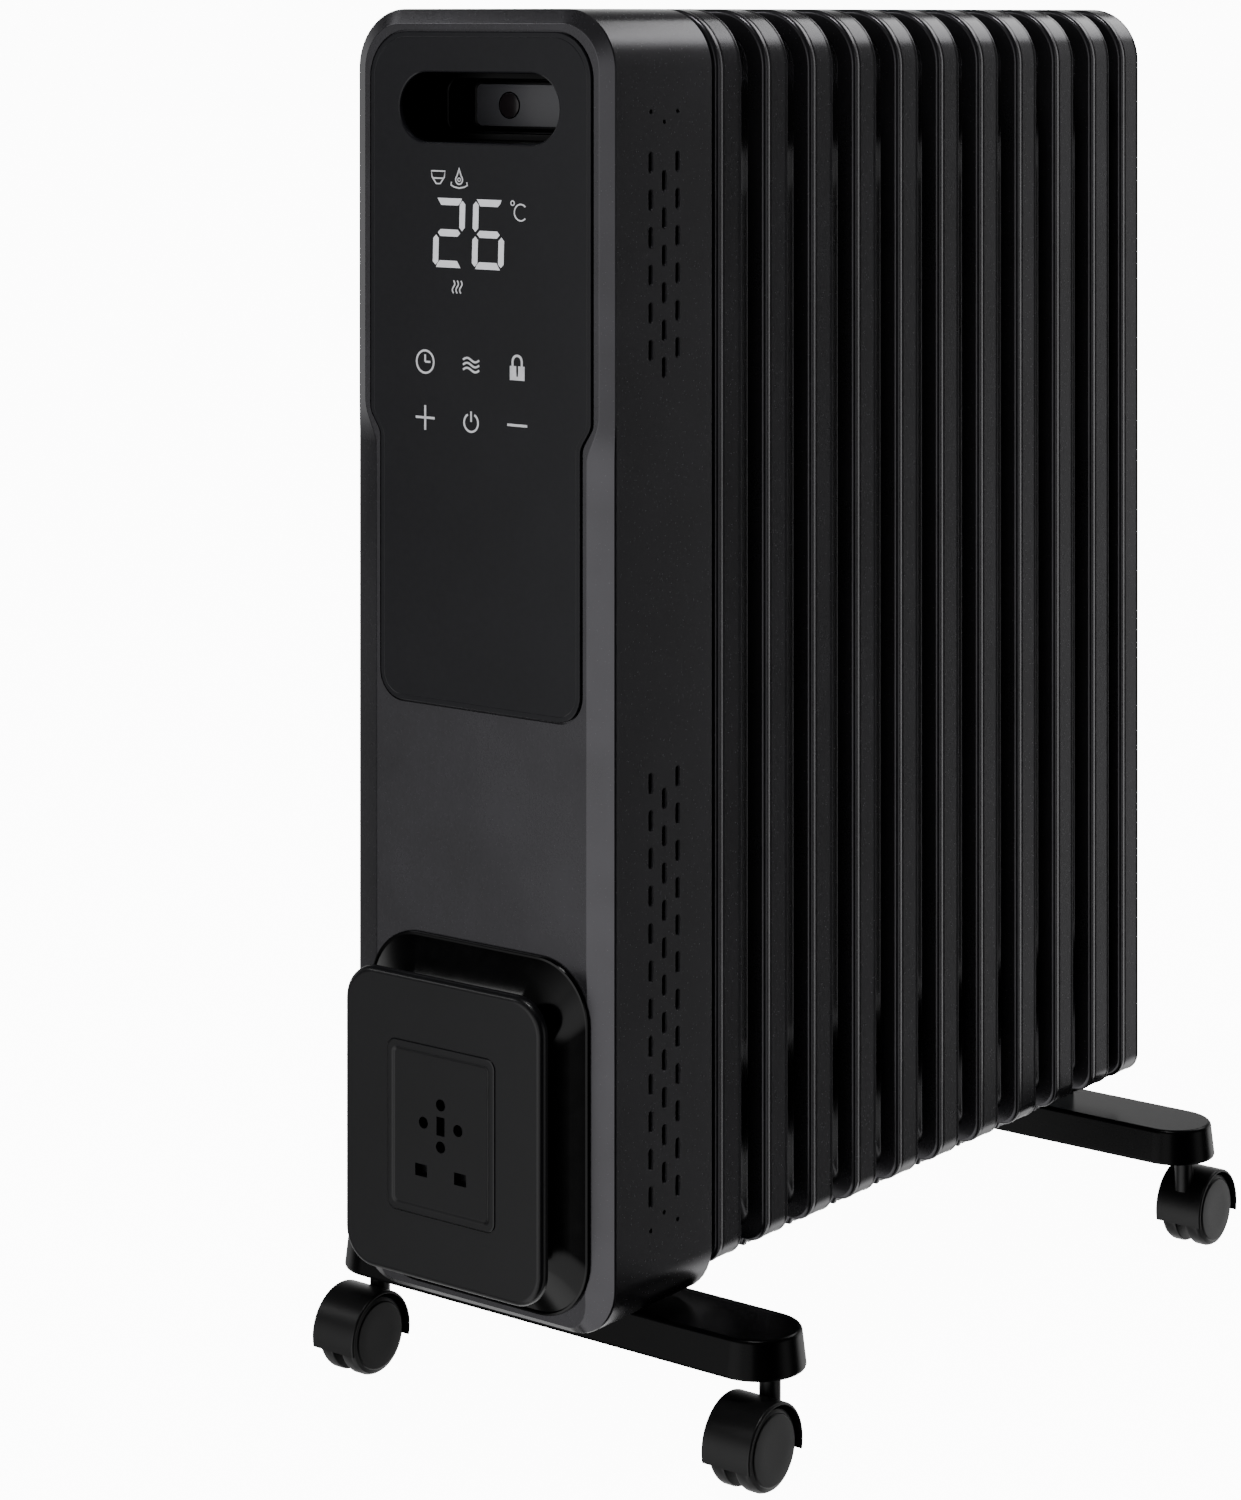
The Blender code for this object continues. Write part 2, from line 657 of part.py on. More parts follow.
def build_electrics():
    inside = Y0 + HOUSING_WALL + BOARD_STANDOFF + SOFT_EDGE
    display_z = PANEL_TOP - DISPLAY_DROP - DISPLAY_HEIGHT / 2
    board_y = inside + DISPLAY_THICK + SOFT_EDGE
    finish(block((DISPLAY_X, display_z), (DISPLAY_WIDTH, DISPLAY_THICK, DISPLAY_HEIGHT),
                 inside + DISPLAY_THICK), "display_module", "display_black")
    board_z = PANEL_TOP - CONTROL_BOARD_DROP - CONTROL_BOARD_HEIGHT / 2
    finish(block((0.0, board_z), (CONTROL_BOARD_WIDTH, BOARD_THICK, CONTROL_BOARD_HEIGHT),
                 board_y + BOARD_THICK), "control_board", "board_green")

    deep = Y0 + POWER_BOARD_Y
    low = PANEL_BOTTOM - POWER_BOARD_DROP
    edge = POWER_BOARD_WIDTH / 2
    finish(block((0.0, low + POWER_BOARD_HEIGHT / 2),
                 (POWER_BOARD_WIDTH, BOARD_THICK, POWER_BOARD_HEIGHT), deep + BOARD_THICK),
           "power_board", "board_green")
    for name, size, x, rise, colour in (
            ("power_relay", RELAY_SIZE, -0.0155, 0.0745, "relay_blue"),
            ("terminal_block", TERMINAL_SIZE, edge - 0.0210, 0.0170, "white_plastic"),
            ("tilt_switch", SWITCH_SIZE, 0.0170 - edge, 0.0200, "white_plastic")):
        finish(block((x, low + rise), size, deep - CLEAR), name, colour)

    back = bulkhead_y() - CLEAR
    cutout = rod(CUTOUT_RADIUS, -CUTOUT_THICK, 0.0, "Y",
                 (0.0, back, HOUSING_BOTTOM + CUTOUT_RISE), 16, 0.0010)
    finish(cutout, "thermal_cutout", "steel")
    low, gap = HOUSING_BOTTOM + PROBE_RISE, PROBE_RADIUS + 0.0018
    probe = tube_along([Vector((PROBE_X, back - gap - 0.003 * (k == 0), low + 0.014 * k))
                        for k in range(4)], PROBE_RADIUS, 8)
    finish(probe, "air_sensor", "white_plastic")


def hairpin():
    """A U of sheathed tube that lies along the lower header."""
    reach, half = ELEMENT_REACH, ELEMENT_HALF
    start = FIN_START - 0.0170
    z = LOWER_HEADER_Z
    path = [Vector((0, start, z - half)), Vector((0, start + reach, z - half))]
    for step in range(1, 6):
        turn = math.radians(-90 + 30 * step)
        path.append(Vector((0, start + reach + half * math.cos(turn),
                            z + half * math.sin(turn))))
    path += [Vector((0, start + reach, z + half)), Vector((0, start, z + half))]
    return path


def build_element():
    centre = (0, FIN_START - 0.0001, LOWER_HEADER_Z)
    low, seat = -0.0064, -HEADER_PROUD - 0.0004
    flange = turned([(0, low), (FLANGE_RADIUS - 0.001, low), (FLANGE_RADIUS, low + 0.001),
                     (FLANGE_RADIUS, seat), (FLANGE_SPIGOT, seat), (FLANGE_SPIGOT, 0.0090),
                     (0, 0.0090)], "Y", centre, 24)
    for side in (-1, 1):
        place = (0, centre[1], LOWER_HEADER_Z + side * ELEMENT_HALF)
        cut(flange, rod(ELEMENT_RADIUS + CLEAR, -0.02, 0.02, "Y", place, 12))
    finish(flange, "element_flange", "brass")
    finish(tube_along(hairpin(), ELEMENT_RADIUS, 10), "heating_element", "incoloy")


def build_filler_plug():
    end = fin_y(FIN_COUNT - 1) + FIN_BAND / 2 + HEADER_PROUD + CLEAR
    spigot = HEADER_BORE - 0.0002
    plug = turned([(0, -0.0120), (spigot, -0.0120), (spigot, 0.0), (PLUG_HEAD, 0.0),
                   (PLUG_HEAD, PLUG_PROUD - 0.001), (PLUG_HEAD - 0.001, PLUG_PROUD),
                   (0, PLUG_PROUD)], "Y", (0, end, LOWER_HEADER_Z), 16)
    finish(plug, "filler_plug", "zinc_plate")


# -------------------------------------------------------------- cord winder

def winder_outline(width, height, radius):
    return rounded_rect(width / 2, WINDER_Z - height / 2, WINDER_Z + height / 2,
                        radius, radius, 6)


def build_winder():
    base = Y0 - CLEAR
    tip = Y0 - NECK_REACH
    steps = ((1.0, 0.0), (0.93, 0.10), (0.60, 0.24), (0.24, 0.42), (0.05, 0.68), (0.0, 1.0))
    rings = []
    for flare, along in steps:
        width = NECK_WIDTH + (NECK_BASE_WIDTH - NECK_WIDTH) * flare
        height = NECK_HEIGHT + (NECK_BASE_HEIGHT - NECK_HEIGHT) * flare
        radius = NECK_RADIUS + (NECK_BASE_RADIUS - NECK_RADIUS) * flare
        rings.append(along_y(winder_outline(width, height, radius),
                             base + (tip - base) * along))
    finish(loft(rings), "winder_neck", "gloss_black", 50)
    front = tip - CLEAR - PLATE_THICK
    stations = ((0.0004, tip - CLEAR), (0.0, tip - CLEAR - 0.0004),
                (0.0, front + PLATE_ROUND), (PLATE_ROUND, front))
    plate = loft([along_y(winder_outline(PLATE_WIDTH - 2 * inset, PLATE_HEIGHT - 2 * inset,
                                         PLATE_RADIUS - inset), y)
                  for inset, y in stations])
    pocket = winder_outline(SOCKET_WIDTH + 2 * CLEAR, SOCKET_HEIGHT + 2 * CLEAR,
                            SOCKET_RADIUS + CLEAR)
    cut(plate, slab(pocket, front - 0.01, front + SOCKET_DEEP))
    finish(plate, "winder_plate", "satin_black")
    build_socket(front)


def build_socket(front):
    face = front - SOCKET_PROUD
    back = front + SOCKET_DEEP - CLEAR
    rings = []
    for inset, y in ((0.0, back), (0.0, face + SOFT_EDGE), (SOFT_EDGE, face),
                     (SOCKET_RIM, face), (SOCKET_RIM + SOFT_EDGE, face + 0.0007)):
        outline = winder_outline(SOCKET_WIDTH - 2 * inset, SOCKET_HEIGHT - 2 * inset,
                                 max(SOCKET_RADIUS - inset, 0.0012))
        rings.append(along_y(outline, y))
    plate = loft(rings)
    z = WINDER_Z + PIN_RISE
    for x, dz in ((0, ROUND_ABOVE), (-ROUND_SPREAD, 0), (ROUND_SPREAD, 0), (0, -ROUND_BELOW)):
        cut(plate, rod(ROUND_HOLE, -0.02, 0.02, "Y", (x, face, z + dz), 12))
    slots = [(0.0, z, SLOT_HALF_WIDTH, SLOT_HALF_HEIGHT),
             (-PIN_PITCH / 2, z - PIN_DROP, PIN_HALF_WIDTH, PIN_HALF_HEIGHT),
             (PIN_PITCH / 2, z - PIN_DROP, PIN_HALF_WIDTH, PIN_HALF_HEIGHT)]
    for x, height, half_x, half_z in slots:
        cut(plate, box((x - half_x, face - 0.01, height - half_z),
                       (x + half_x, back + 0.01, height + half_z)))
    finish(plate, "parking_socket", "satin_black")


def build_gland():
    edge = -WIDTH / 2
    shank = GLAND_BORE - 0.0004
    gland = turned([(0, -GLAND_LENGTH), (0.0050, -GLAND_LENGTH), (GLAND_RADIUS, -0.0008),
                    (GLAND_RADIUS, -CLEAR), (shank, -CLEAR), (shank, GLAND_LENGTH),
                    (0, GLAND_LENGTH)], "X", (edge, Y0 + GLAND_Y, GLAND_Z), 16)
    finish(gland, "cord_gland", "rubber")


# ------------------------------------------------------------ feet, casters

def foot_outline(inset, steps=9):
    """(x, y) points of a bar with round ends."""
    radius = FOOT_WIDTH / 2 - inset
    middle = FOOT_LENGTH / 2 - FOOT_WIDTH / 2
    points = []
    for side in (1, -1):
        for step in range(steps):
            turn = math.radians(-90 + 180 * step / (steps - 1))
            points.append((side * (middle + radius * math.cos(turn)),
                           side * radius * math.sin(turn)))
    return points


def foot_body(y):
    stations = ((0.0012, FOOT_BOTTOM), (0.0, FOOT_BOTTOM + 0.0012),
                (FOOT_DRAFT - 0.0001, FOOT_TOP - 0.0012), (FOOT_DRAFT + 0.0010, FOOT_TOP))
    rings = [[Vector((px, y + py, z)) for px, py in foot_outline(inset)]
             for inset, z in stations]
    body = loft(rings)
    for side in (-1, 1):
        place = (side * STEM_X, y, 0)
        cut(body, rod(STEM_RADIUS + RUNNING, 0, FOOT_TOP - STEM_CAP, "Z", place, 20))
    return body


def build_feet():
    front = foot_body(Y0 + FOOT_FRONT_Y)
    for side in (-1, 1):
        place = (side * SCREW_X, Y0 + FOOT_FRONT_Y - SCREW_SHIFT, 0)
        cut(front, rod(SCREW_RADIUS + CLEAR, 0, HEIGHT, "Z", place, 12))
        head, under = FOOT_BOTTOM - SCREW_HEAD, FOOT_BOTTOM - CLEAR
        screw = turned([(0, head), (SCREW_HEAD_RADIUS, head), (SCREW_HEAD_RADIUS, under),
                        (SCREW_RADIUS, under), (SCREW_RADIUS, HOUSING_BOTTOM - CLEAR),
                        (0, HOUSING_BOTTOM - CLEAR)], "Z", place, 12)
        finish(screw, "front_foot_screw_" + ("left" if side < 0 else "right"), "steel")
    finish(front, "foot_front", "satin_black")

    rear = foot_body(Y0 + FOOT_REAR_Y)
    gap_y = u_bolt_y()
    for side in (-1, 1):
        cut(rear, rod(U_BOLT_RADIUS + CLEAR, 0, HEIGHT, "Z",
                       (side * U_BOLT_HALF, gap_y, 0), 12))
        middle, half_x = side * U_BOLT_HALF, WING_REACH + WELL_CLEAR
        half_y = NUT_RADIUS + WELL_CLEAR
        cut(rear, box((middle - half_x, gap_y - half_y, 0),
                      (middle + half_x, gap_y + half_y, FOOT_BOTTOM + NUT_WELL)))
    finish(rear, "foot_rear", "satin_black")


def u_bolt_y():
    """The middle of the gap between the last two fins."""
    return (fin_y(FIN_COUNT - 2) + fin_y(FIN_COUNT - 1)) / 2


def build_rear_clamp():
    y = u_bolt_y()
    low = FOOT_BOTTOM - U_BOLT_TAIL
    path = [Vector((U_BOLT_HALF, y, low)), Vector((U_BOLT_HALF, y, LOWER_HEADER_Z))]
    for step in range(1, 8):
        turn = math.radians(22.5 * step)
        path.append(Vector((U_BOLT_HALF * math.cos(turn), y,
                            LOWER_HEADER_Z + U_BOLT_HALF * math.sin(turn))))
    path += [Vector((-U_BOLT_HALF, y, LOWER_HEADER_Z)), Vector((-U_BOLT_HALF, y, low))]
    finish(tube_along(path, U_BOLT_RADIUS, 10), "rear_u_bolt", "zinc_plate", 50)

    low, high = FOOT_TOP + CLEAR, FIN_BOTTOM - CLEAR
    cheek = U_BOLT_HALF + SADDLE_CLEAR
    wide, half = cheek + SADDLE_WALL, SADDLE_WIDTH / 2
    saddle = box((-wide, y - half, low), (wide, y + half, high))
    cut(saddle, box((-cheek, y - half - 0.01, low - 0.01),
                    (cheek, y + half + 0.01, high - SADDLE_SHEET)))
    for side in (-1, 1):
        cut(saddle, rod(U_BOLT_RADIUS + CLEAR, 0, HEIGHT, "Z",
                        (side * U_BOLT_HALF, y, 0), 12))
    finish(saddle, "rear_saddle", "zinc_plate")
    for side in (-1, 1):
        build_wing_nut(side, y)


def build_wing_nut(side, y):
    place = (side * U_BOLT_HALF, y, FOOT_BOTTOM + NUT_WELL - CLEAR)
    nut = rod(NUT_RADIUS, -NUT_HEIGHT, 0.0, "Z", place, 12)
    root = NUT_RADIUS - 0.0012
    for turn in (-1, 1):
        outline = [(turn * root, 0.0005 - NUT_HEIGHT),
                   (turn * (WING_REACH - 0.0005), -NUT_HEIGHT - 0.0020),
                   (turn * WING_REACH, -NUT_HEIGHT / 2), (turn * root, -0.0010)]
        wing = slab(outline, -0.0008, 0.0008)
        wing.data.transform(Matrix.Translation(place))
        join(nut, wing)
    cut(nut, rod(U_BOLT_RADIUS + 0.0002, -0.02, 0.02, "Z", place, 12))
    finish(nut, "wing_nut_" + ("left" if side < 0 else "right"), "zinc_plate")


def hood_body(stem, trail):
    """The caster's hood with its stem boss; trail is -1 or +1 along Y."""
    x, y = stem
    axle = (x, y + trail * CASTER_OFFSET, WHEEL_RADIUS)
    half = HOOD_HALF_WIDTH
    soft = SOFT_EDGE
    hood = turned([(0, -half), (HOOD_RADIUS - soft, -half), (HOOD_RADIUS, -half + soft),
                   (HOOD_RADIUS, half - soft), (HOOD_RADIUS - soft, half), (0, half)],
                  "X", axle, 28)
    space = WHEEL_RADIUS + HOOD_INNER
    low, top = space - BOSS_SINK, FOOT_BOTTOM - 0.0008
    join(hood, turned([(0, low), (BOSS_RADIUS, low), (BOSS_RADIUS, top - soft),
                       (BOSS_RADIUS - soft, top), (0, top)], "Z", (x, y, 0), 16))
    for side in (-1, 1):
        low, high = sorted((side * WEB_HALF_WIDTH, side * 2 * half))
        cut(hood, rod(HOOD_INNER, low, high, "X", axle, 28))
    reach = 2 * HOOD_RADIUS
    cut(hood, box((x - reach, axle[1] - reach, -reach),
                  (x + reach, axle[1] + reach, WHEEL_RADIUS - HOOD_DROP)))
    cut(hood, rod(STEM_RADIUS + RUNNING, space - STEM_SINK, FOOT_TOP, "Z", (x, y, 0), 20))
    cut(hood, rod(AXLE_RADIUS + RUNNING, -reach, reach, "X", axle, 20))
    return hood


def build_caster(name, stem, trail):
    x, y = stem
    axle = (x, y + trail * CASTER_OFFSET, WHEEL_RADIUS)
    finish(set_origin(hood_body(stem, trail), (x, y, 0.0)), f"{name}_hood", "satin_black")
    low = WHEEL_RADIUS + HOOD_INNER - STEM_SINK + CLEAR
    pin = rod(STEM_RADIUS, low, FOOT_TOP - STEM_CAP - 0.0004, "Z", (x, y, 0), 20)
    finish(set_origin(pin, (x, y, 0.0)), f"{name}_stem", "steel")
    shaft = rod(AXLE_RADIUS, -AXLE_HALF, AXLE_HALF, "X", axle, 20)
    finish(set_origin(shaft, axle), f"{name}_axle", "steel")
    for side, word in ((-1, "wheel_a"), (1, "wheel_b")):
        low, high, r = side * WHEEL_INNER, side * WHEEL_OUTER, WHEEL_RADIUS
        bore_end = side * (AXLE_HALF + 0.0002)
        profile = [(0, high), (r - 0.0020, high), (r - 0.0004, high - side * 0.0016),
                   (r, high - side * 0.0024), (r, low + side * 0.0008),
                   (r - 0.0008, low), (AXLE_RADIUS + RUNNING, low),
                   (AXLE_RADIUS + RUNNING, bore_end), (0, bore_end)]
        wheel = turned(profile, "X", axle, 24)
        finish(set_origin(wheel, axle), f"{name}_{word}", "satin_black")


def build_casters():
    front, rear = Y0 + FOOT_FRONT_Y, Y0 + FOOT_REAR_Y
    build_caster("caster_front_left", (-STEM_X, front), -1)
    build_caster("caster_front_right", (STEM_X, front), -1)
    build_caster("caster_rear_left", (-STEM_X, rear), 1)
    build_caster("caster_rear_right", (STEM_X, rear), 1)


# ------------------------------------------------------------------- scene

def build():
    for obj in list(bpy.data.objects):
        bpy.data.objects.remove(obj)
    build_fins()
    build_housing()
    build_bulkhead()
    build_fascia()
    build_pocket()
    build_lens()
    build_electrics()
    build_element()
    build_filler_plug()
    build_winder()
    build_gland()
    build_feet()
    build_rear_clamp()
    build_casters()
    bpy.context.view_layer.update()


build()
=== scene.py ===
"""Oil filled radiator heater: its finished surfaces, built round the fixed frame.

Run as a script. Lengths are metres and +Z is up. The control panel faces -Y, the
fins stand in a row along +Y, and the heater rolls on four twin-wheel casters.
Pieces with a finer shape stand in for the frame's plain ones, and the rest of the
frame gets its finishes.
"""

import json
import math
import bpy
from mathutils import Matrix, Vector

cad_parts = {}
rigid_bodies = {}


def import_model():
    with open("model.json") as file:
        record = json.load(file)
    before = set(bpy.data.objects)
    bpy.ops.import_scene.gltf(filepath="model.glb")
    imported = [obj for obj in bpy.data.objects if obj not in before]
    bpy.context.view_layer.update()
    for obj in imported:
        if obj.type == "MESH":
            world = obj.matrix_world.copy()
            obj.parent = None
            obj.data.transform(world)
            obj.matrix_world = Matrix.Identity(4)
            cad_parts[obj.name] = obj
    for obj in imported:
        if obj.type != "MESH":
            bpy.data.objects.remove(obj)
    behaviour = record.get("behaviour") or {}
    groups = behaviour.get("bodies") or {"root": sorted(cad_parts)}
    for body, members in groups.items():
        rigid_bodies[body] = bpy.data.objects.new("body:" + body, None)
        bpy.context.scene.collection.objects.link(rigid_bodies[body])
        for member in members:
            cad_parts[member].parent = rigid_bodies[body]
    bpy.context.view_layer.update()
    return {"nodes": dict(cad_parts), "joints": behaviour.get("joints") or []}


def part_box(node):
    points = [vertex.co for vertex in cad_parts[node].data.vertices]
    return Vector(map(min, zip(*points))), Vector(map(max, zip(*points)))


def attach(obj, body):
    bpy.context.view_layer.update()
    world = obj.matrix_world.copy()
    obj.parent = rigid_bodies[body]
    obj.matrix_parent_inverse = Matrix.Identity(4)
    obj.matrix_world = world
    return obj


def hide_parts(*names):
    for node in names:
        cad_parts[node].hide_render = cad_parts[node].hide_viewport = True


bl_info = {
    "name": "Oil Filled Radiator Heater",
    "version": (1, 0, 0),
    "blender": (4, 5, 0),
    "location": "3D View > Sidebar > Radiator",
    "description": "Builds an oil filled radiator heater: pieces, finishes and studio",
    "category": "Add Mesh",
}

import bmesh
import bpy
from bpy.props import FloatProperty, IntProperty, PointerProperty, StringProperty
from mathutils import Matrix, Vector

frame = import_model()

# Places read from the frame
BODY = "radiator"
shell_low, shell_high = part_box("housing_shell")
panel_low, panel_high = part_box("control_fascia")
tray_low, tray_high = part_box("grip_pocket")
lens_low, lens_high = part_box("ir_receiver")
neck_low, neck_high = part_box("winder_neck")
plate_low, plate_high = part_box("winder_plate")
socket_low, socket_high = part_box("parking_socket")
gland_low, gland_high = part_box("cord_gland")
second_low, second_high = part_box("fin_02")
third_low, third_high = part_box("fin_03")
plug_low, plug_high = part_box("filler_plug")

FRONT = shell_low.y                      # the housing's front face
WIDTH = shell_high.x - shell_low.x
TOP = shell_high.z
FIN_NODES = sorted(name for name in frame["nodes"] if name.startswith("fin_"))
HEADER_PROUD = 0.0006                    # how far the end fins' headers stand out
FIN_PITCH = (third_low.y + third_high.y - second_low.y - second_high.y) / 2
FIRST_FIN = (second_low.y + second_high.y) / 2 - FIN_PITCH
FIN_BAND = 2 * (FIRST_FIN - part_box("fin_01")[0].y - HEADER_PROUD)
LAST_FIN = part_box(FIN_NODES[-1])[1].y - HEADER_PROUD - FIN_BAND / 2
LOWER_HEADER = (plug_low.z + plug_high.z) / 2
UPPER_HEADER = TOP - (LOWER_HEADER - second_low.z)
WINDER_MIDDLE = (plate_low.z + plate_high.z) / 2
AXES = {joint["name"]: Vector(joint["pos_m"]) for joint in frame["joints"]}
CASTERS = ("caster_front_left", "caster_front_right", "caster_rear_left",
           "caster_rear_right")

# Small fixed sizes
STEM_BORE = 0.00306                      # radius of the holes round a caster's stem
AXLE_BORE = 0.00256                      # radius of the holes round a caster's axle
LAY = 0.0003                             # play between pieces that lie on each other


# ---------------------------------------------------------------- properties

def length(name, text, default):
    return FloatProperty(name=name, description=text, default=default, min=0.0,
                         unit="LENGTH", precision=5)


def colour(name, text, default):
    return StringProperty(name=name, description=text, default=default)


class RADIATOR_PG_fins(bpy.types.PropertyGroup):
    count: IntProperty(name="Fins", description="Number of fins in the stack",
                       default=len(FIN_NODES), min=2)
    pitch: length("Pitch", "Distance from one fin to the next", FIN_PITCH)
    band: length("Band", "Width of a fin's outer edge", FIN_BAND)
    nose: length("Nose radius", "Rounding of the edge towards the panel", 0.0021)
    lip: length("Lip width", "Width of the rolled lip beside the nose", 0.0036)
    groove: length("Groove depth", "Depth of the groove behind the lip", 0.00055)
    rim: length("Rim", "Flat border before the pressed web", 0.0095)
    web: length("Web", "Thickness of the pressed web", 0.0096)
    top_radius: length("Top radius", "Radius of the upper corners", 0.027)
    bottom_radius: length("Bottom radius", "Radius of the lower corners", 0.0100)
    notch: length("Notch", "Height of the step near the lower corners", 0.0030)
    header_radius: length("Header radius", "Radius of the hub between two fins", 0.021)


class RADIATOR_PG_housing(bpy.types.PropertyGroup):
    top_radius: length("Top radius", "Radius of the upper corners", 0.027)
    bottom_radius: length("Bottom radius", "Radius of the lower corners", 0.023)
    wall: length("Wall", "Thickness of the housing's wall", 0.0024)
    bevel: length("Bevel", "Width of the bevel beside the panel", 0.0069)
    low_bevel: length("Lower bevel", "Width of the bevel below the panel's step", 0.0140)
    bevel_depth: length("Bevel depth", "How far the bevel runs back", 0.0032)
    slot_length: length("Slot length", "Length of a vent slot", 0.0088)
    slot_width: length("Slot width", "Width of a vent slot", 0.0026)
    slot_pitch: length("Slot pitch", "Distance from one slot to the next", 0.01635)
    column_spacing: length("Column spacing", "Distance between vent columns", 0.0098)
    vent_y: length("Vent place", "Middle column behind the front face", 0.0380)
    upper_rows: IntProperty(name="Upper rows", description="Slots in an upper column",
                            default=6, min=1)
    lower_rows: IntProperty(name="Lower rows", description="Slots in a lower column",
                            default=12, min=1)
    upper_drop: length("Upper drop", "First upper slot below the top", 0.0670)
    lower_drop: length("Lower drop", "First lower slot below the panel", 0.0275)


class RADIATOR_PG_panel(bpy.types.PropertyGroup):
    low_side: length("Lower side", "Panel's lower part inside its upper width", 0.0060)
    step_low: length("Step start", "Step's lower end above the panel's bottom", 0.1175)
    step_high: length("Step end", "Step's upper end above the panel's bottom", 0.1305)
    top_radius: length("Top radius", "Radius of the upper corners", 0.021)
    bottom_radius: length("Bottom radius", "Radius of the lower corners", 0.0125)
    seam: length("Seam", "Dark gap round the panel", 0.0009)
    rim: length("Rim", "Width of the lower rim round the glossy field", 0.0022)
    pocket_width: length("Pocket width", "Width of the finger pocket", 0.0910)
    pocket_height: length("Pocket height", "Height of the finger pocket", 0.0309)
    pocket_ledge: length("Pocket ledge", "Depth of the pocket's ledge", 0.0290)
    pocket_step: length("Pocket step", "How far the ledge stands in", 0.0036)
    pocket_corner: length("Pocket corner", "Radius of the inner corners", 0.0050)
    pocket_wall: length("Pocket wall", "Thickness of the pocket's wall", 0.0016)
    digit_height: length("Digit height", "Height of the two display digits", 0.0308)
    digit_width: length("Digit width", "Width of one display digit", 0.0180)
    digit_stroke: length("Digit stroke", "Width of a display segment", 0.0031)
    mark_stroke: length("Mark stroke", "Line width of the touch marks", 0.0009)


class RADIATOR_PG_winder(bpy.types.PropertyGroup):
    neck_width: length("Neck width", "Width of the neck behind the plate", 0.0860)
    neck_height: length("Neck height", "Height of the neck behind the plate", 0.1040)
    plate_radius: length("Plate radius", "Radius of the plate's corners", 0.0160)
    plate_round: length("Plate rounding", "Rounding of the plate's front edge", 0.0030)
    socket_rim: length("Socket rim", "Width of the raised rim round the socket", 0.0036)
    pin_pitch: length("Pin pitch", "Distance between the two lower holes", 0.0222)
    pin_drop: length("Pin drop", "Lower holes below the middle slot", 0.0210)


class RADIATOR_PG_casters(bpy.types.PropertyGroup):
    wheel_radius: length("Wheel radius", "Radius of a caster wheel", 0.0184)
    hood_gap: length("Hood gap", "Gap between the tread and the hood", 0.0009)
    hood_wall: length("Hood wall", "Thickness of the hood", 0.0013)
    hood_half: length("Hood half width", "Half the width of the hood", 0.0129)
    web_half: length("Web half width", "Half the wall between the wheels", 0.0021)
    hood_drop: length("Hood drop", "How far the hood reaches below the axle", 0.0046)
    boss_radius: length("Boss radius", "Radius of the boss round the stem", 0.0048)


class RADIATOR_PG_colours(bpy.types.PropertyGroup):
    paint: colour("Paint", "Gunmetal powder coat, sRGB hex", "434246")
    paint_dark: colour("Paint shade", "Darker tone in the powder coat", "3a393c")
    fascia: colour("Fascia", "Smoked panel, sRGB hex", "1c1c20")
    gloss: colour("Gloss black", "Neck and pocket, sRGB hex", "030304")
    satin: colour("Satin black", "Winder plate, sRGB hex", "121214")
    nylon: colour("Nylon", "Casters, sRGB hex", "0d0d0e")
    marks: colour("Marks", "Lit marks and digits, sRGB hex", "e6e6ea")
    floor: colour("Floor", "Studio floor, sRGB hex", "f4f4f4")


SETTINGS = {
    "radiator_fins": RADIATOR_PG_fins,
    "radiator_housing": RADIATOR_PG_housing,
    "radiator_panel": RADIATOR_PG_panel,
    "radiator_winder": RADIATOR_PG_winder,
    "radiator_casters": RADIATOR_PG_casters,
    "radiator_colours": RADIATOR_PG_colours,
}


# ------------------------------------------------------------------- meshes

def new_object(name, mesh):
    obj = bpy.data.objects.new(name, mesh)
    bpy.context.scene.collection.objects.link(obj)
    return obj


def mesh_object(name, points, faces):
    mesh = bpy.data.meshes.new(name)
    mesh.from_pydata([tuple(p) for p in points], [], faces)
    work = bmesh.new()
    work.from_mesh(mesh)
    bmesh.ops.remove_doubles(work, verts=work.verts, dist=1e-6)
    bmesh.ops.recalc_face_normals(work, faces=work.faces)
    work.to_mesh(mesh)
    work.free()
    return new_object(name, mesh)


def loft(name, rings):
    """A closed body through rings of equal length, with a cap on both ends."""
    count = len(rings[0])
    points = [p for ring in rings for p in ring]
    faces = []
    for low in range(0, len(points) - count, count):
        for i in range(count):
            j = (i + 1) % count
            faces.append((low + i, low + j, low + count + j, low + count + i))
    faces.append(tuple(range(count)))
    faces.append(tuple(range(len(points) - count, len(points))))
    return mesh_object(name, points, faces)


def rounded_rect(half_width, low, high, low_radius, high_radius, steps):
    """(x, z) points round a rounded rectangle, from its lower right corner."""
    points = []
    for x, z, radius, start in (
            (half_width - low_radius, low + low_radius, low_radius, -90),
            (half_width - high_radius, high - high_radius, high_radius, 0),
            (high_radius - half_width, high - high_radius, high_radius, 90),
            (low_radius - half_width, low + low_radius, low_radius, 180)):
        for step in range(steps):
            turn = math.radians(start + 90 * step / (steps - 1))
            points.append((x + radius * math.cos(turn), z + radius * math.sin(turn)))
    return points


def at_y(points, y):
    return [Vector((x, y, z)) for x, z in points]


def slab(name, points, y_low, y_high):
    return loft(name, [at_y(points, y_low), at_y(points, y_high)])


def rectangle(x, other, half_x, half_other):
    """Corners of a rectangle about a point, for a slab or a post."""
    return [(x + side * half_x, other + rise * half_other)
            for side, rise in ((1, -1), (1, 1), (-1, 1), (-1, -1))]


def post(name, points, z_low, z_high):
    """An upright body on (x, y) points."""
    return loft(name, [[Vector((x, y, z)) for x, y in points] for z in (z_low, z_high)])


TURNS = {
    "X": Matrix(((0, 0, 1), (1, 0, 0), (0, 1, 0))),
    "Y": Matrix(((0, 1, 0), (0, 0, 1), (1, 0, 0))),
    "Z": Matrix.Identity(3),
}


